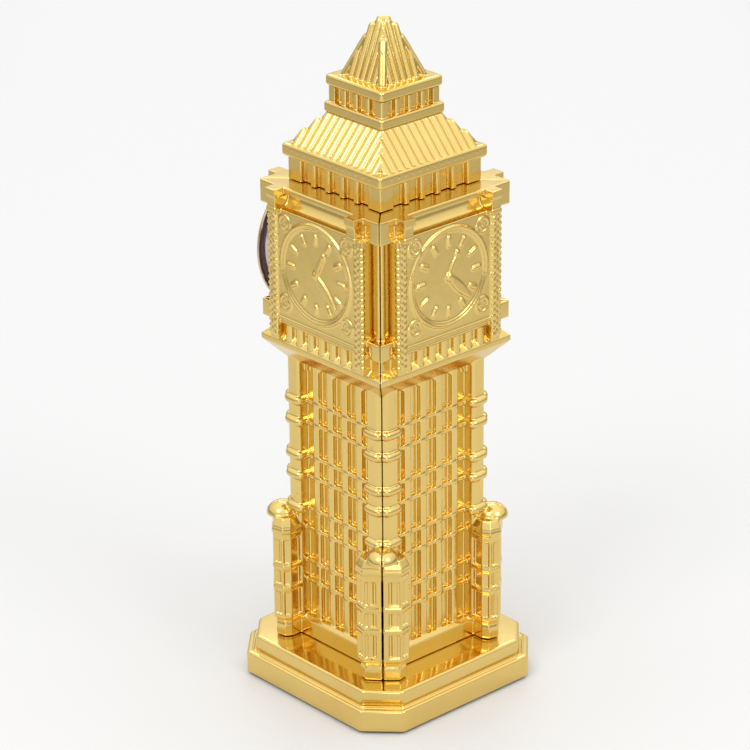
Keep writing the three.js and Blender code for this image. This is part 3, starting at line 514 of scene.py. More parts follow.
def fuse(casting, name, voxel, keep):
    """Joins the casting's overlapping shapes into one skin and rounds its edges as casting and plating do."""
    obj = casting.to_object(name)
    join = obj.modifiers.new("fuse", "REMESH")
    join.mode = "VOXEL"
    join.voxel_size = voxel
    soften = obj.modifiers.new("soften", "SMOOTH")
    soften.factor = 0.5
    soften.iterations = SMOOTHING_STEPS
    obj.modifiers.new("thin", "DECIMATE").ratio = keep
    apply_modifiers(obj)
    return obj


def finish_piece(obj, slot, body, nodes, material=None, smooth=True):
    """Turns a finished millimetre shape into a piece of the model."""
    obj.data.transform(Matrix.Scale(MM, 4))
    for polygon in obj.data.polygons:
        polygon.use_smooth = smooth
    obj.data.materials.clear()
    obj.data.materials.append(material or FINISH[slot])
    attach(obj, body)
    if nodes:
        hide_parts(*nodes)


def subtract(obj, *tools):
    """Cuts the tool castings out of an object."""
    for tool in tools:
        cutter = tool.to_object("cutter")
        step = obj.modifiers.new("cut", "BOOLEAN")
        step.operation = "DIFFERENCE"
        step.solver = "EXACT"
        step.object = cutter
        apply_modifiers(obj)
        bpy.data.objects.remove(cutter)


def crease(obj):
    """Keeps sharp edges crisp under smooth shading."""
    shape = bmesh.new()
    shape.from_mesh(obj.data)
    for edge in shape.edges:
        edge.smooth = len(edge.link_faces) == 2 and edge.calc_face_angle(0.0) < CREASE_ANGLE
    shape.to_mesh(obj.data)
    shape.free()


# ---------- walls ----------
def rounded_bar(low, high, back, front, r):
    """Section (across, s) of a bar with rounded front edges."""
    return ([(high, back)] + arc(high - r, front - r, r, 0, 90, 3) + arc(low + r, front - r, r, 90, 180, 3)
            + [(low, back)])


def shaft_panel(c):
    S = SHAFT
    reach = S["foot"] + 1
    bottom, top, back = BASE["top"] + JOINT, STAGE["bevel_low"] + 1, S["panel"] - 0.5
    c.box(-reach, reach, S["back"], S["panel"], bottom, top)
    c.across([(S["back"], bottom), (S["foot"], bottom), (S["foot"], S["foot_top"] - 0.9),
              (S["foot"] - 0.9, S["foot_top"]), (S["back"], S["foot_top"])], -reach, reach)
    ribs = [step * S["rib_pitch"] for step in (-1.5, -0.5, 0.5, 1.5)]
    for x in ribs:
        outline = rounded_bar(x - S["rib_half"], x + S["rib_half"], back, S["rib_front"], 0.35)
        c.plan([(outline, S["rib_foot"] - 0.4), (outline, top)])
    end = S["column"][0] + 0.4
    for z in RAILS:
        profile = [(s, rise) for rise, s in rounded_bar(z - S["rail_half"], z + S["rail_half"], back,
                                                        S["rail_front"], 0.3)]
        c.across(profile, -end, end)
        for x in ribs:
            c.bead(x, S["rib_front"] - 0.35, z, 1.3, 0.6, 0.85)
    edges = [-S["column"][0]] + ribs + [S["column"][0]]
    for left, right in zip(edges, edges[1:]):
        centre, half = (left + right) / 2, (right - left) / 2 - S["rib_half"] * 0.8
        arch = arc(centre, S["arch_z"] - half, half, 180, 0, 10)
        foot = S["arch_z"] - half - 0.3
        outline = [(left, top), (left, foot), (centre - half, foot)] + arch
        outline += [(centre + half, foot), (right, foot), (right, top)]
        c.relief(outline, back, S["rail_front"] - 0.4)


def column_outline(side, grow=0.0):
    """Plan of one corner pilaster; grow swells it for a collar."""
    S = SHAFT
    r = S["column_r"] + grow
    inner, outer, front = S["column"][0] - grow, S["column"][1] + grow, S["column_front"] + grow
    outline = [(outer, S["back"] + 1)] + arc(outer - r, front - r, r, 0, 85, 6)
    outline += [((inner + outer) / 2, front + 0.1)] + arc(inner + r, front - r, r, 95, 180, 6)
    outline += [(inner, S["back"] + 1)]
    return [(side * x, s) for x, s in outline]


def shaft_columns(c):
    S = SHAFT
    bottom, top = S["rib_foot"] - 0.4, STAGE["bevel_low"] + 2.5
    for side in (-1, 1):
        c.plan([(column_outline(side), bottom), (column_outline(side), top)])
        strip = sorted((side * (S["column"][1] - 1), side * (S["strip"] + 1)))
        c.box(*strip, S["back"], S["strip"], bottom, top)
        for rail in RINGED_RAILS:
            bulge = arc(0, rail, 1.0, -80, 80, 8)
            c.plan([(column_outline(side, S["collar_out"] * a), rail + (b - rail) * S["collar_half"])
                    for a, b in bulge])


def turret_outline(side, scale):
    """Plan of the half turret on one side of a wall, scaled about its own middle; its seam edge is eased."""
    mid_x, mid_s = TURRET["middle"]
    seam, back = TURRET["seam"], TURRET["back"]
    points = [(seam - 0.4, seam - 0.4), (seam - 0.3, seam + 0.2), TURRET["outer"], TURRET["front"],
              TURRET["side"], (TURRET["side"][0], back), (back, back)]
    return [(side * (mid_x + (x - mid_x) * scale), mid_s + (s - mid_s) * scale) for x, s in points]


def facet_spot(side, corners):
    """A function that places points on a facet: distance along it and lift off it, in plan."""
    (x0, s0), (x1, s1) = corners
    width = math.hypot(x1 - x0, s1 - s0)
    out = Vector((s0 - s1, x1 - x0)).normalized()
    if out.dot(Vector((x0 + x1, s0 + s1)) / 2 - Vector(TURRET["middle"])) < 0:
        out = -out

    def spot(along, lift):
        t = along / width
        return side * (x0 + (x1 - x0) * t + out.x * lift), s0 + (s1 - s0) * t + out.y * lift
    return spot, width


def turret_window(c, side, corners, z0, z1):
    """Raised strips that frame one window on one facet, a sill, and one or two fine mullions."""
    spot, width = facet_spot(side, corners)
    near_seam = corners[1] == TURRET["outer"]
    first = 1.3 if near_seam else 0.4
    last = width - 0.45

    def strip(a, b, lift, low, high):
        outline = [spot(a, -1.6), spot(b, -1.6), spot(b, lift), spot(a, lift)]
        c.plan([(outline, low), (outline, high)])

    strip(-0.1, first, 0.0, z0 - 0.2, z1 + 0.2)
    strip(last, width + 0.1, 0.0, z0 - 0.2, z1 + 0.2)
    strip(first - 0.1, last + 0.1, -0.05, z0 - 0.2, z0 + 0.45)
    strip(first - 0.1, last + 0.1, 0.0, z1 - 0.35, z1 + 0.2)
    opening = last - first
    for share in ((0.34, 0.66) if near_seam else (0.5,)):
        middle = first + opening * share
        strip(middle - 0.2, middle + 0.2, -0.25, z0 + 0.4, z1)


def turret(c, side):
    T = TURRET
    base = BASE["top"] + JOINT

    def stack(levels):
        c.plan([(turret_outline(side, scale), z) for scale, z in levels])

    stack([(0.8, base), (0.86, base + 0.25), (0.885, base + 0.8), (0.885, base + 3.3), (0.85, base + 3.9),
           (0.83, base + 4.15), (0.86, base + 4.5), (0.9, base + 5.6)])
    stack([(0.82, T["low"] - 0.7), (T["core"], T["low"] + 0.3), (T["core"], T["cap"] - 0.2)])
    edges = [(T["seam"] - 0.3, T["seam"] + 0.2), T["outer"], T["front"], T["side"]]
    for z0, z1 in TURRET_WINDOWS:
        for corners in zip(edges, edges[1:]):
            turret_window(c, side, corners, z0, z1)
    stack([(0.93, T["low"] - 0.2), (1.01, T["low"] + 0.2), (1.01, T["low"] + 0.8)])
    for (_, low), (high, _) in zip(TURRET_WINDOWS, TURRET_WINDOWS[1:]):
        middle = (low + high) / 2
        stack([(0.99, middle - 0.7), (1.035, middle - 0.4), (1.045, middle), (1.035, middle + 0.4),
               (0.99, middle + 0.7)])
    top = T["window_top"]
    cap = T["cap"]
    stack([(0.97, top - 0.2), (1.0, top + 0.3), (1.0, cap - 0.7), (1.06, cap - 0.2), (1.07, cap + 0.4),
           (1.04, cap + 0.9), (1.03, cap + 1.5), (0.84, T["eaves"])])
    x, s, r = T["dome"]
    rise = T["roof"] - T["eaves"] + 0.6
    c.plan([(arc(side * x, s, r * math.cos(math.radians(tilt)), 0, 350, 35),
             T["eaves"] - 0.6 + rise * math.sin(math.radians(tilt))) for tilt in DOME_TILTS])


def stage_body(c):
    S = STAGE
    reach = S["flange"] + 1
    c.across([(SHAFT["back"], S["bevel_low"]), (SHAFT["panel"] + 0.6, S["bevel_low"]),
              (SHAFT["strip"] + 0.1, S["bevel_low"] + 0.2), (S["flange"], S["flange_low"]),
              (S["flange"], S["flange_high"]), (S["core"], S["core_low"]), (18.0, 97.6),
              (SHAFT["back"], 92.6)], -reach, reach)
    c.box(-reach, reach, S["back"] - 0.5, S["core"], S["core_low"] - 0.6, S["arcade_top"] + 0.5)
    for step in range(-3, 4):
        outline = arc(step * S["arcade_pitch"], S["arcade_front"] - S["arcade_r"], S["arcade_r"], 0, 180, 8)
        outline = [(outline[0][0], S["core"] - 0.5)] + outline + [(outline[-1][0], S["core"] - 0.5)]
        c.plan([(outline, S["core_low"] - 1), (outline, S["arcade_top"] + 0.3)])
    inner = S["pilaster"][0]
    c.box(-inner, inner, S["back"], S["arcade_front"] + 0.1, S["arcade_top"], S["panel_low"])
    c.rod((-inner, S["arcade_front"], 101.2), (inner, S["arcade_front"], 101.2), 0.5)
    c.rod((-inner, S["panel"] - 0.15, 102.5), (inner, S["panel"] - 0.15, 102.5), 0.5)
    c.box(-inner, inner, S["back"], S["panel"] - 1.2, S["panel_low"] - 0.5, S["panel_high"] - 0.4)
    c.box(-S["panel_half"], S["panel_half"], S["back"] + 0.5, S["panel"], S["panel_low"], S["panel_high"])
    lip, depth, height = S["panel"] - 0.2, S["panel"] - 0.2 - S["trough"], S["trough_top"] - S["panel_high"]
    cove = [(lip + a * depth, S["trough_top"] + b * height) for a, b in arc(0, 0, 1, 270, 180, 10)]
    c.across([(17.0, S["panel_high"] - 1), (lip, S["panel_high"] - 1)] + cove
             + [(S["trough"], S["trough_top"] + 0.4), (17.0, S["trough_top"] + 0.4)],
             -S["cap"][0] - 0.5, S["cap"][0] + 0.5)
    c.across([(S["deck_hole"], S["deck_low"]), (S["corner"] - 1, S["deck_low"]),
              (S["corner"], S["trough_top"]), (S["corner"], S["deck"] - 0.35),
              (S["corner"] - 0.35, S["deck"]), (S["deck_hole"], S["deck"])], -reach, reach)


def stage_corner(c, side):
    S = STAGE

    def box(x0, x1, s0, s1, z0, z1):
        c.box(min(side * x0, side * x1), max(side * x0, side * x1), s0, s1, z0, z1)

    inner, outer = S["pilaster"]
    far = S["flange"] + 1
    box(inner, outer, 17.5, S["pilaster_front"] - 0.35, S["core_low"] - 1, S["pilaster_top"] + 0.3)
    box(outer - 0.5, far, 17.0, S["recess"], S["low_block_top"] - 1, S["pilaster_top"] + 1)
    z = S["core_low"] + 0.9
    while z < S["pilaster_top"] - 1.2:
        c.bead(side * (outer - 0.25), S["pilaster_front"] - 0.5, z, 0.6, 0.65, 0.72)
        wobble = random.uniform(-0.15, 0.15)
        c.bead(side * (inner + 0.75 + wobble), S["pilaster_front"] - 0.4, z, 0.85, 0.6, 0.95 + wobble)
        c.bead(side * (inner + 1.75 - wobble), S["pilaster_front"] - 0.42, z + 0.8, 0.8, 0.5, 0.85 - wobble)
        z += S["bead_pitch"]
    cap_in, cap_out = S["cap"]
    box(cap_in, cap_out, 17.0, S["cap_front"] - 0.4, S["pilaster_top"] - 0.2, S["deck"] - 0.6)
    box(cap_in - 0.3, cap_out + 0.3, 17.0, S["cap_front"], S["trough_top"] - 0.4, S["deck"])
    box(cap_in - 0.2, cap_out + 0.2, 17.0, S["cap_front"] - 0.2, S["pilaster_top"], S["pilaster_top"] + 1.0)
    square_in, square_out = S["square"]
    for low, high, (hole_low, hole_high) in ((S["pilaster_top"], S["deck"], CORNER_HOLES["top"]),
                                             (S["arcade_top"], S["low_block_top"], CORNER_HOLES["foot"])):
        box(square_in - 1, far, 16.5, S["corner"] - 1.0, low, high)
        box(square_out, far, 17.0, S["corner"], low, high)
        box(square_in - 1, square_out + 0.2, 17.0, S["corner"], low, hole_low)
        box(square_in - 1, square_out + 0.2, 17.0, S["corner"], hole_high, high)
    box(outer - 0.5, far, 17.0, S["core"], S["core_low"] - 1, S["arcade_top"] + 0.3)
    x, s = side * S["rod_x"], S["rod_sum"] - S["rod_x"]
    c.rod((x, s, S["low_block_top"] - 0.6), (x, s, S["pilaster_top"] + 0.6), S["rod_r"])


def dial_bar(c, angle, inner, outer, r, s):
    """A raised bar marker with rounded ends."""
    sine, cosine = math.sin(angle), math.cos(angle)
    ends = [(along * sine, s, DIAL["z"] + along * cosine) for along in (inner + r, outer - r)]
    c.rod(*ends, r)


def leaf(length, width):
    """Outline of a leaf-shaped hand that points along +z."""
    tail, steps = DIAL["hand_tail"], 10
    right = []
    for i in range(steps + 1):
        t = i / steps
        half = width * math.sin(math.pi * min(1.0, t * 0.95 + 0.05)) ** 0.8 + 0.12
        right.append((half, -tail + (length + tail) * t))
    return right + [(-x, z) for x, z in right[::-1]]


def turned_outline(outline, angle):
    sine, cosine = math.sin(angle), math.cos(angle)
    return [(x * cosine + z * sine, DIAL["z"] + z * cosine - x * sine) for x, z in outline]


def moulded_dial(c):
    face = STAGE["panel"]
    for big, small, out in DIAL["rings"]:
        c.hoop(0, DIAL["z"], face + out, big, small, sides=96)
    for hour in range(12):
        dial_bar(c, math.radians(30 * hour), *DIAL["mark"], face)
    for hand in ("minute", "hour"):
        length, width, degrees = DIAL[hand]
        outline = turned_outline(leaf(length, width), math.radians(degrees))
        c.relief(outline, face - 0.3, face + DIAL["hand_out"])
    hour_tip, _, degrees = DIAL["hour"]
    angle = math.radians(degrees)
    c.bead(hour_tip * math.sin(angle), face, DIAL["z"] + hour_tip * math.cos(angle), 0.85, 0.7, 1.1)
    c.bead(0, face, DIAL["z"], 1.25, 1.1, 1.25)
    for x in (-CURLS["x"], CURLS["x"]):
        for z in (DIAL["z"] - CURLS["z"], DIAL["z"] + CURLS["z"]):
            for big, small, sides in CURLS["rings"]:
                c.hoop(x, z, face + CURLS["out"], big, small, sides)
            c.bead(x, face, z, 0.45, 0.55, 0.45)


def wall_casting(name, with_dial):
    c = Casting()
    shaft_panel(c)
    shaft_columns(c)
    stage_body(c)
    for side in (-1, 1):
        turret(c, side)
        stage_corner(c, side)
    if with_dial:
        moulded_dial(c)
    c.mitre()
    return fuse(c, name, voxel=0.2, keep=0.21)


# ---------- roof and spire ----------
def rounded_slab(c, half, z0, z1, r, corner=0.9):
    """A square slab whose top, bottom and upright edges are rounded."""
    profile = arc(half - r, z0 + r, r, -90, 0, 4) + arc(half - r, z1 - r, r, 0, 90, 4)
    c.plan([(cut_square(reach, corner, corner * 0.8), z) for reach, z in profile])


def ribbed_slope(c, foot, foot_z, top, top_z, pitch, count, r, sink):
    """Round ribs up one face, starting inside the slab below; each ends on the hip it meets."""
    lean = (foot - top) / (top_z - foot_z)
    for step in range(-count, count + 1):
        x = step * pitch
        share = min(1.0, (foot - abs(x)) / (foot - top))
        if share <= 0.04:
            continue
        start = (x, foot - sink + lean * r, foot_z - r)
        end = (x, foot - sink - (foot - top) * share, foot_z + (top_z - foot_z) * share)
        c.rod(start, end, r, sides=16)


def roof_casting():
    R = ROOF
    c = Casting()
    low = STAGE["deck"] + JOINT
    ribbed_slope(c, R["eaves"], R["slab_top"], R["neck"], R["neck_z"], R["rib_pitch"], 6, R["rib_r"],
                 R["rib_sink"])
    c.mitre(-R["rib_past_hip"])
    for step in (-2.5, -1.5, -0.5, 0.5, 1.5, 2.5):
        x = step * R["bay_pitch"]
        outline = rounded_bar(x - R["column_half"], x + R["column_half"], R["recess"] - 1, R["arcade"], 0.6)
        c.plan([(outline, low), (outline, R["slab_low"] + 0.3)])
    corner_in = 2.5 * R["bay_pitch"]
    for side in (-1, 1):
        edges = sorted((side * corner_in, side * R["arcade"]))
        c.box(*edges, R["recess"] - 1, R["arcade"], low, R["slab_low"] + 0.3)
    for x, half in LANTERN_POSTS:
        outline = rounded_bar(x - half, x + half, R["lantern_recess"] - 1, R["lantern"], 0.7)
        c.plan([(outline, R["low_slab_top"] - 0.3), (outline, R["lantern_top"])])
    c.copies()
    c.plan([(cut_square(R["recess"], 0.3), low), (cut_square(R["recess"], 0.3), R["slab_low"] + 0.4)])
    rounded_slab(c, R["slab"], R["slab_low"], R["slab_top"], 0.8, corner=0.5)
    c.plan([(cut_square(R["eaves"] - 0.6, 0.3), R["slab_top"] - 0.4),
            (cut_square(R["neck"], 0.2), R["neck_z"])])
    rounded_slab(c, R["low_slab"], R["neck_z"] - 0.1, R["low_slab_top"], 0.7, corner=0.5)
    c.plan([(cut_square(R["lantern_recess"], 0.3), R["low_slab_top"] - 0.4),
            (cut_square(R["lantern_recess"], 0.3), R["lantern_top"])])
    return fuse(c, "roof_skin", voxel=0.16, keep=0.3)


def spire_casting():
    S = SPIRE
    c = Casting()
    ribbed_slope(c, S["foot"], S["slab_top"], S["top"], S["top_z"], S["rib_pitch"], 2, S["rib_r"],
                 S["rib_sink"])
    c.mitre(0.0)
    lean = (S["foot"] - S["top"]) / (S["top_z"] - S["slab_top"])
    hip_foot, hip_rise = S["foot"] - 0.35, S["hip_top"] - S["slab_top"]
    hip_top = hip_foot - lean * hip_rise
    c.rod((hip_foot, hip_foot, S["slab_top"]), (hip_top, hip_top, S["hip_top"]), S["hip_r"], sides=16)
    c.copies()
    rounded_slab(c, S["slab"], S["slab_low"], S["slab_top"], 0.7, corner=0.6)
    c.plan([(cut_square(S["foot"] - 0.2, 0.3), S["slab_top"] - 0.4), (cut_square(S["top"], 0.4), S["top_z"])])
    c.bead(0, 0, S["apex"] - 0.7, 0.75, 0.75, 0.7)
    return fuse(c, "spire_skin", voxel=0.13, keep=0.4)


# ---------- base ----------
def base_casting():
    """Two octagonal steps, hollow below, with a fine double bead between them and rounded top edges."""
    B = BASE
    inside = B["half2"] - B["wall"]
    lower, upper = B["half1"], B["half2"]
    outline = [(inside, B["cut2"], B["top"] - B["wall"]), (inside, B["cut2"], 0.0)]
    outline += [(lower + dx, B["cut1"], z)
                for dx, z in ((-0.5, 0.0), (-0.18, 0.08), (-0.03, 0.35), (0.0, 0.8))]
    outline += [(lower + a, B["cut1"], B["low"] + b) for a, b in arc(-0.7, -0.7, 0.7, 0, 90, 6)]
    for out in (0.95, 0.45):
        bead = arc(out - 0.22, 0, 0.2, 0, 180, 6)
        outline += [(upper + a, B["cut2"] * 1.03, B["low"] + b) for a, b in bead]
    outline += [(upper, B["cut2"], B["low"] + 0.1)]
    outline += [(upper + a, B["cut2"], B["top"] + b) for a, b in arc(-0.8, -0.8, 0.8, 0, 90, 6)]
    c = Casting()
    c.plan([(cut_square(half, leg, 0.7, steps=5), z) for half, leg, z in outline])
    return c.to_object("base_skin")


def pad_piece():
    half, leg = BASE["half1"] - 0.8, BASE["cut1"]
    c = Casting()
    levels = [(-0.25, 0.0), (-0.05, 0.1), (0.0, 0.3), (0.0, 0.5), (-0.1, 0.7)]
    c.plan([(cut_square(half + grow, leg, 1.2, steps=5), z - LIFT) for grow, z in levels])
    return c.to_object("pad_skin")


# ---------- pieces ----------
def add_castings():
    clock_wall = wall_casting("wall_front_skin", with_dial=False)
    hole = Casting()
    hole.disc(CLOCK["bore"], *CLOCK["bore_s"], sides=160)
    subtract(clock_wall, hole)
    finish_piece(clock_wall, "gold", "tower", ["wall_front"])
    dial_wall = wall_casting("wall_dial", with_dial=True)
    for quarter, cad_name in ((1, "wall_right"), (2, "wall_back"), (3, "wall_left")):
        obj = link_object(cad_name + "_skin", dial_wall.data.copy())
        obj.data.transform(Matrix.Rotation(math.pi / 2 * quarter, 4, "Z"))
        finish_piece(obj, "gold", "tower", [cad_name])
    bpy.data.objects.remove(dial_wall)
    finish_piece(roof_casting(), "gold", "tower", ["roof"])
    finish_piece(spire_casting(), "gold", "tower", ["spire_cap"])
    finish_piece(base_casting(), "gold", "tower", ["base_plinth"], material=MIRROR_GOLD)
    finish_piece(pad_piece(), "foam", "tower", ["base_pad"])


def soft_profile(points, r):
    """A closed profile with each corner cut by a small two-step round."""
    made = []
    for i, corner in enumerate(points):
        here = Vector(corner)
        before, after = Vector(points[i - 1]) - here, Vector(points[(i + 1) % len(points)]) - here
        reach = min(r, before.length * 0.4, after.length * 0.4)
        before, after = before.normalized() * reach, after.normalized() * reach
        made += [tuple(here + before), tuple(here + (before + after) * 0.27), tuple(here + after)]
    return made


def clock_piece(casting, name, slot, body, nodes, material=None, cuts=()):
    """One crisp-edged piece of the insert clock, less its cuts."""
    obj = casting.to_object(name)
    subtract(obj, *cuts)
    finish_piece(obj, slot, body, nodes, material)
    crease(obj)


def add_bezel_and_lens():
    ring = Casting()
    ring.lathe(BEZEL_EDGE + arc(*BEZEL_ROLL, 50, 125, 8) + BEZEL_LIP + BEZEL_REAR, sides=160)
    clock_piece(ring, "bezel_ring", "gold", "insert_clock", ["clock_bezel"], pressed_gold())
    lens = Casting()
    tilts = [math.radians(degrees) for degrees in range(0, 86, 8)]
    dome = [(LENS["r"] * math.cos(t), LENS["shoulder"] + LENS["rise"] * math.sin(t)) for t in tilts]
    lens.turn(LENS["seat"] + dome + [(CLOCK["axis"], LENS["top"])], sides=128)
    clock_piece(lens, "lens_dome", "lens", "insert_clock", ["clock_lens"])


def add_case():
    shell, notch, stem_hole = Casting(), Casting(), Casting()
    shell.lathe(soft_profile(CASE, 0.35), sides=144)
    notch.box(*NOTCH["x"], *NOTCH["s"], CLOCK_Z - NOTCH["half"], CLOCK_Z + NOTCH["half"])
    stem_hole.bar(STEM_HOLE, CLOCK["stem_s"], CLOCK_Z)
    clock_piece(shell, "case_shell", "white_plastic", "insert_clock", [], cuts=(notch, stem_hole))
    add_pocket()
    grip = Casting()
    back, front = GRIP["s"]
    ridges = [(GRIP["valley"] + (GRIP["ridge"] if i % 2 else 0.0), GRIP["first"] + GRIP["pitch"] * i)
              for i in range(GRIP["ridges"])]
    grip.lathe([(GRIP["r"], front), (GRIP["r"], back), (GRIP["flank"], back)] + ridges
               + [(GRIP["flank"], front)], sides=128)
    clock_piece(grip, "grip_ring_ribbed", "rubber", "insert_clock", ["grip_ring"])
    cover, window, finger = Casting(), Casting(), Casting()
    cover.turn([(CLOCK["axis"], COVER[0][1])] + COVER + [(CLOCK["axis"], COVER[-1][1])], sides=128)
    half = COVER_WINDOW["half"]
    window.box(*COVER_WINDOW["x"], *COVER_WINDOW["s"], CLOCK_Z - half, CLOCK_Z + half)
    finger.disc(COVER_GRIP["r"], *COVER_GRIP["s"], sides=40, x=COVER_GRIP["x"])
    clock_piece(cover, "case_back_cover", "black_plastic", "back_cover", ["case_back"],
                cuts=(window, finger))


def add_pocket():
    """The moulded pocket around the crown, with a square hole for its stem."""
    inner, wall, outer = POCKET["x"]
    low, floor, top = POCKET["s"]
    inside, half = POCKET["half"]
    stem, middle = POCKET["stem"], CLOCK["stem_s"]
    pocket = Casting()
    boxes = [(inner, wall, low, top, -half, -stem), (inner, wall, low, top, stem, half),
             (wall, outer, low, top, -half, -inside), (wall, outer, low, top, inside, half),
             (inner, wall, low, middle - stem, -stem, stem), (inner, wall, middle + stem, top, -stem, stem),
             (wall, outer, floor, top, -inside, inside)]
    for x0, x1, s0, s1, z0, z1 in boxes:
        pocket.box(x0, x1, s0, s1, CLOCK_Z + z0, CLOCK_Z + z1)
    clock_piece(pocket, "case_pocket", "white_plastic", "insert_clock", ["clock_case"])


def add_dial():
    card = Casting()
    hole, r, back, front = CARD["hole"], CARD["r"], CARD["back"], CARD["front"]
    card.lathe(soft_profile([(hole, back), (r, back), (r, front), (hole, front)], 0.05), sides=128)
    clock_piece(card, "dial_card", "dial", "insert_clock", ["clock_dial"])
    ink = Casting()
    low, high = (front + edge for edge in TRACK["ink"])
    for radius in TRACK["rings"]:
        over = radius + TRACK["line"]
        ink.lathe([(radius, low), (over, low), (over, high), (radius, high)], sides=128)
    near, far = TRACK["ticks"]
    for minute, angle in enumerate(around(60)):
        half = TRACK["hour_half"] if minute % 5 == 0 else TRACK["minute_half"]
        corners = [(near, -half), (far, -half), (far, half), (near, half)]
        ink.relief([(a * math.sin(angle) + b * math.cos(angle),
                     CLOCK_Z + a * math.cos(angle) - b * math.sin(angle)) for a, b in corners], low, high)
    clock_piece(ink, "dial_minute_track", "hand_black", "insert_clock", [])
    for hour in range(1, 13):
        add_numeral(hour, math.tau * hour / 12, front)


def add_numeral(hour, angle, s):
    text = bpy.data.curves.new(f"numeral_{hour}", "FONT")
    text.body = str(hour)
    text.size = NUMERALS["size"]
    text.align_x, text.align_y = "CENTER", "CENTER"
    text.extrude = NUMERALS["thick"]
    text.resolution_u = 6
    made = link_object(f"numeral_{hour}", text)
    mesh = evaluated_mesh(made)
    bpy.data.objects.remove(made)
    numeral = link_object(f"dial_numeral_{hour}", mesh)
    x, z = NUMERALS["r"] * math.sin(angle), CLOCK_Z + NUMERALS["r"] * math.cos(angle)
    mesh.transform(Matrix.Translation((x, -s, z + LIFT)) @ Matrix.Rotation(math.pi / 2, 4, "X"))
    finish_piece(numeral, "hand_black", "insert_clock", [], smooth=False)


def add_hand(name, blade, tail, s, thick, angle, hub, hole):
    """A hand with a ridge along its middle and a turned hub."""
    c = Casting()

    def spot(along, across, lift):
        x = along * math.sin(angle) + across * math.cos(angle)
        z = CLOCK_Z + along * math.cos(angle) - across * math.sin(angle)
        return x, s + lift, z

    steps = 12
    for w0, w1, start, end in (blade, tail):
        loops = []
        for i in range(steps + 1):
            t = i / steps
            along = start + (end - start) * t
            swell = w0 + (w1 - w0) * t + (0.35 * w0 * math.sin(math.pi * t))
            section = ((-swell, 0.0), (swell, 0.0), (swell, thick * 0.6), (0.0, thick), (-swell, thick * 0.6))
            loops.append([spot(along, across, lift) for across, lift in section])
        c.loft(loops)
    c.lathe(soft_profile([(hole, s), (hub, s), (hub, s + thick), (hole, s + thick)], 0.06), sides=48)
    clock_piece(c, name + "_hand_blade", "hand_black", name + "_arbor", [name + "_hand"])


def add_crown_and_power():
    crown = Casting()
    loops = []
    for x, size in CROWN["stations"]:
        loop = []
        for t in around(CROWN["flutes"] * 4):
            r = size * (CROWN["r"] + CROWN["flute"] * math.cos(CROWN["flutes"] * t))
            loop.append((x, CLOCK["stem_s"] + r * math.cos(t), CLOCK_Z + r * math.sin(t)))
        loops.append(loop)
    crown.loft(loops)
    clock_piece(crown, "crown_knurled", "steel", "crown_shaft", ["crown"])
    stem = Casting()
    stem.bar(STEM, CLOCK["stem_s"], CLOCK_Z)
    clock_piece(stem, "crown_stem_turned", "steel", "crown_shaft", ["crown_stem"])
    cell = Casting()
    x, z = CELL_PLACE
    cell.turn([(CLOCK["axis"], CELL[0][1])] + CELL + [(CLOCK["axis"], CELL[-1][1])], 96, x, CLOCK_Z + z)
    clock_piece(cell, "button_cell", "steel", "insert_clock", ["battery"])
    wire = Casting()
    half, count = COIL["half"], COIL["turns"] * 4
    wire.bar([(-half + 2 * half * i / count, COIL["r"] + COIL["wire"] * math.cos(math.tau * i / 4))
              for i in range(count + 1)], COIL["s"], CLOCK_Z + COIL["z"])
    for low, high in BOBBIN_ENDS:
        wire.bar([(low, 1.45), (low + 0.12, 1.6), (high - 0.12, 1.6), (high, 1.45)], COIL["s"],
                 CLOCK_Z + COIL["z"])
    clock_piece(wire, "coil_windings", "copper", "insert_clock", ["coil"])


def shade_cad_nodes():
    slots = {part["node"]: part["material_slot"] for part in frame["record"]["subparts"]}
    for name, obj in frame["nodes"].items():
        for slot in obj.material_slots:
            slot.material = FINISH[slots[name]]
        if not obj.material_slots:
            obj.data.materials.append(FINISH[slots[name]])


# ---------- floor, light and camera ----------
def add_floor():
    """A pale paper floor, palest along the camera's line; its colour is painted darker towards both sides,
    painted shade for light that falls off away from that line.
    """
    bpy.ops.mesh.primitive_plane_add(size=6.0, location=(0, 0, 0))
    floor = bpy.context.object
    floor.name = "studio_floor"
    material, tree, principled = shader("floor_paper", Roughness=0.85)
    turn = on_object(tree, "ShaderNodeMapping", Rotation=(0.0, 0.0, -CAMERA_AZIMUTH))
    aside = tree.nodes.new("ShaderNodeMath")
    aside.operation = "ABSOLUTE"
    tree.links.new(split_axes(tree, turn.outputs["Vector"]).outputs["X"], aside.inputs[0])
    # painted shade: the floor's colour falls from 0.65 along the camera's line to 0.42 at the sides
    tone = ramp(tree, aside.outputs["Value"], [(0.13, (0.65, 0.65, 0.65)), (0.42, (0.42, 0.42, 0.42))])
    tone.color_ramp.interpolation = "EASE"
    tree.links.new(tone.outputs["Color"], principled.inputs["Base Color"])
    floor.data.materials.append(material)


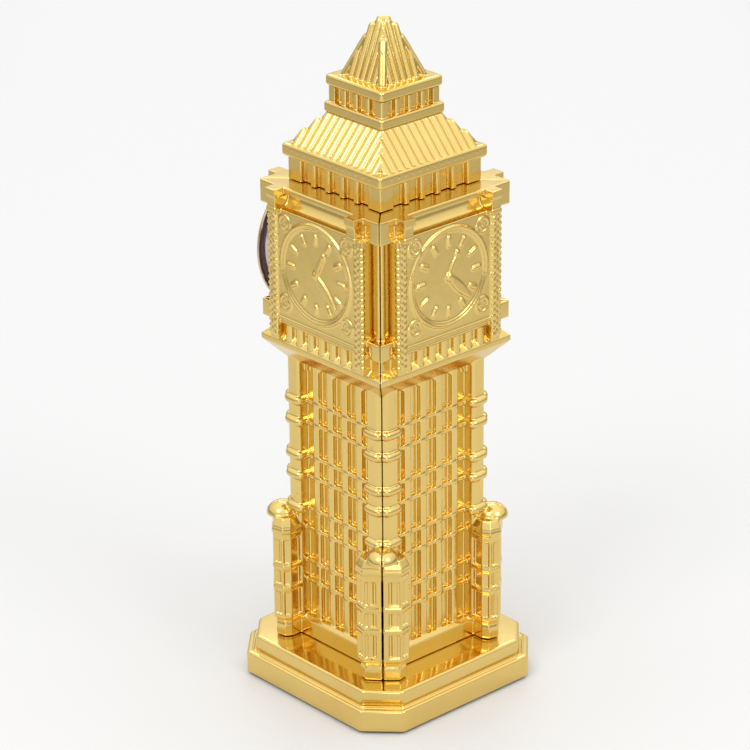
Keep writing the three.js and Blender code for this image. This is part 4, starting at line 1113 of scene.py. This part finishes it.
def add_world():
    """A white tent: a dim band at the horizon, then brighter towards the top."""
    world = bpy.data.worlds.new("white_tent")
    bpy.context.scene.world = world
    world.use_nodes = True
    tree = world.node_tree
    background = tree.nodes["Background"]
    background.inputs["Strength"].default_value = 1.4
    where = tree.nodes.new("ShaderNodeTexCoord")
    sky = ramp(tree, split_axes(tree, where.outputs["Generated"]).outputs["Z"],
               [(0.0, (0.28, 0.27, 0.26)), (0.1, (0.32, 0.31, 0.3)), (0.24, (0.66, 0.66, 0.66)),
                (0.6, (0.8, 0.8, 0.8)), (0.9, (0.98, 0.98, 0.98))])
    tree.links.new(sky.outputs["Color"], background.inputs["Color"])


def add_area(name, location, size, power):
    light = bpy.data.lights.new(name, "AREA")
    light.shape = "RECTANGLE"
    light.size, light.size_y = size
    light.energy = power
    obj = link_object(name, light)
    obj.location = location
    aim = Vector(LIGHT_AIM) - Vector(location)
    obj.rotation_euler = aim.to_track_quat("-Z", "Y").to_euler()


def add_lights():
    add_area("key", (0.75, 0.15, 0.95), (0.42, 0.42), 2.6)
    add_area("fill", (-0.1, 0.9, 0.8), (0.45, 0.4), 2.2)
    add_area("back", (-0.7, -0.8, 0.9), (0.6, 0.4), 2.0)
    add_area("low", (0.55, 0.62, 0.12), (0.16, 0.5), 0.5)


def add_camera():
    """The camera looks back at a point beside the tower's axis, rolled a little about its own view."""
    azimuth, elevation, roll = CAMERA_AZIMUTH, CAMERA_ELEVATION, CAMERA_ROLL
    back = Vector((math.sin(azimuth) * math.cos(elevation), -math.cos(azimuth) * math.cos(elevation),
                   math.sin(elevation)))
    right = Vector((math.cos(azimuth), math.sin(azimuth), 0.0))
    up = back.cross(right)
    right, up = (right * math.cos(roll) + up * math.sin(roll), up * math.cos(roll) - right * math.sin(roll))
    middle = Vector((0, 0, CAMERA_HEIGHT))
    place = middle + back * CAMERA_DISTANCE
    toward = (place - (middle + right * CAMERA_ASIDE + up * CAMERA_BELOW)).normalized()
    right = up.cross(toward).normalized()
    up = toward.cross(right)
    camera = bpy.data.cameras.new("camera")
    camera.lens = CAMERA_LENS
    camera.sensor_width = 36.0
    obj = link_object("camera", camera)
    obj.matrix_world = Matrix.Translation(place) @ Matrix((right, up, toward)).transposed().to_4x4()
    bpy.context.scene.camera = obj


add_camera()
add_floor()
add_world()
add_lights()
shade_cad_nodes()
add_castings()
add_bezel_and_lens()
add_case()
add_dial()
for hand_name, hand in HANDS.items():
    add_hand(hand_name, **hand)
add_crown_and_power()
bpy.context.scene.cycles.glossy_bounces = 8
bpy.context.scene.view_settings.view_transform = "Standard"
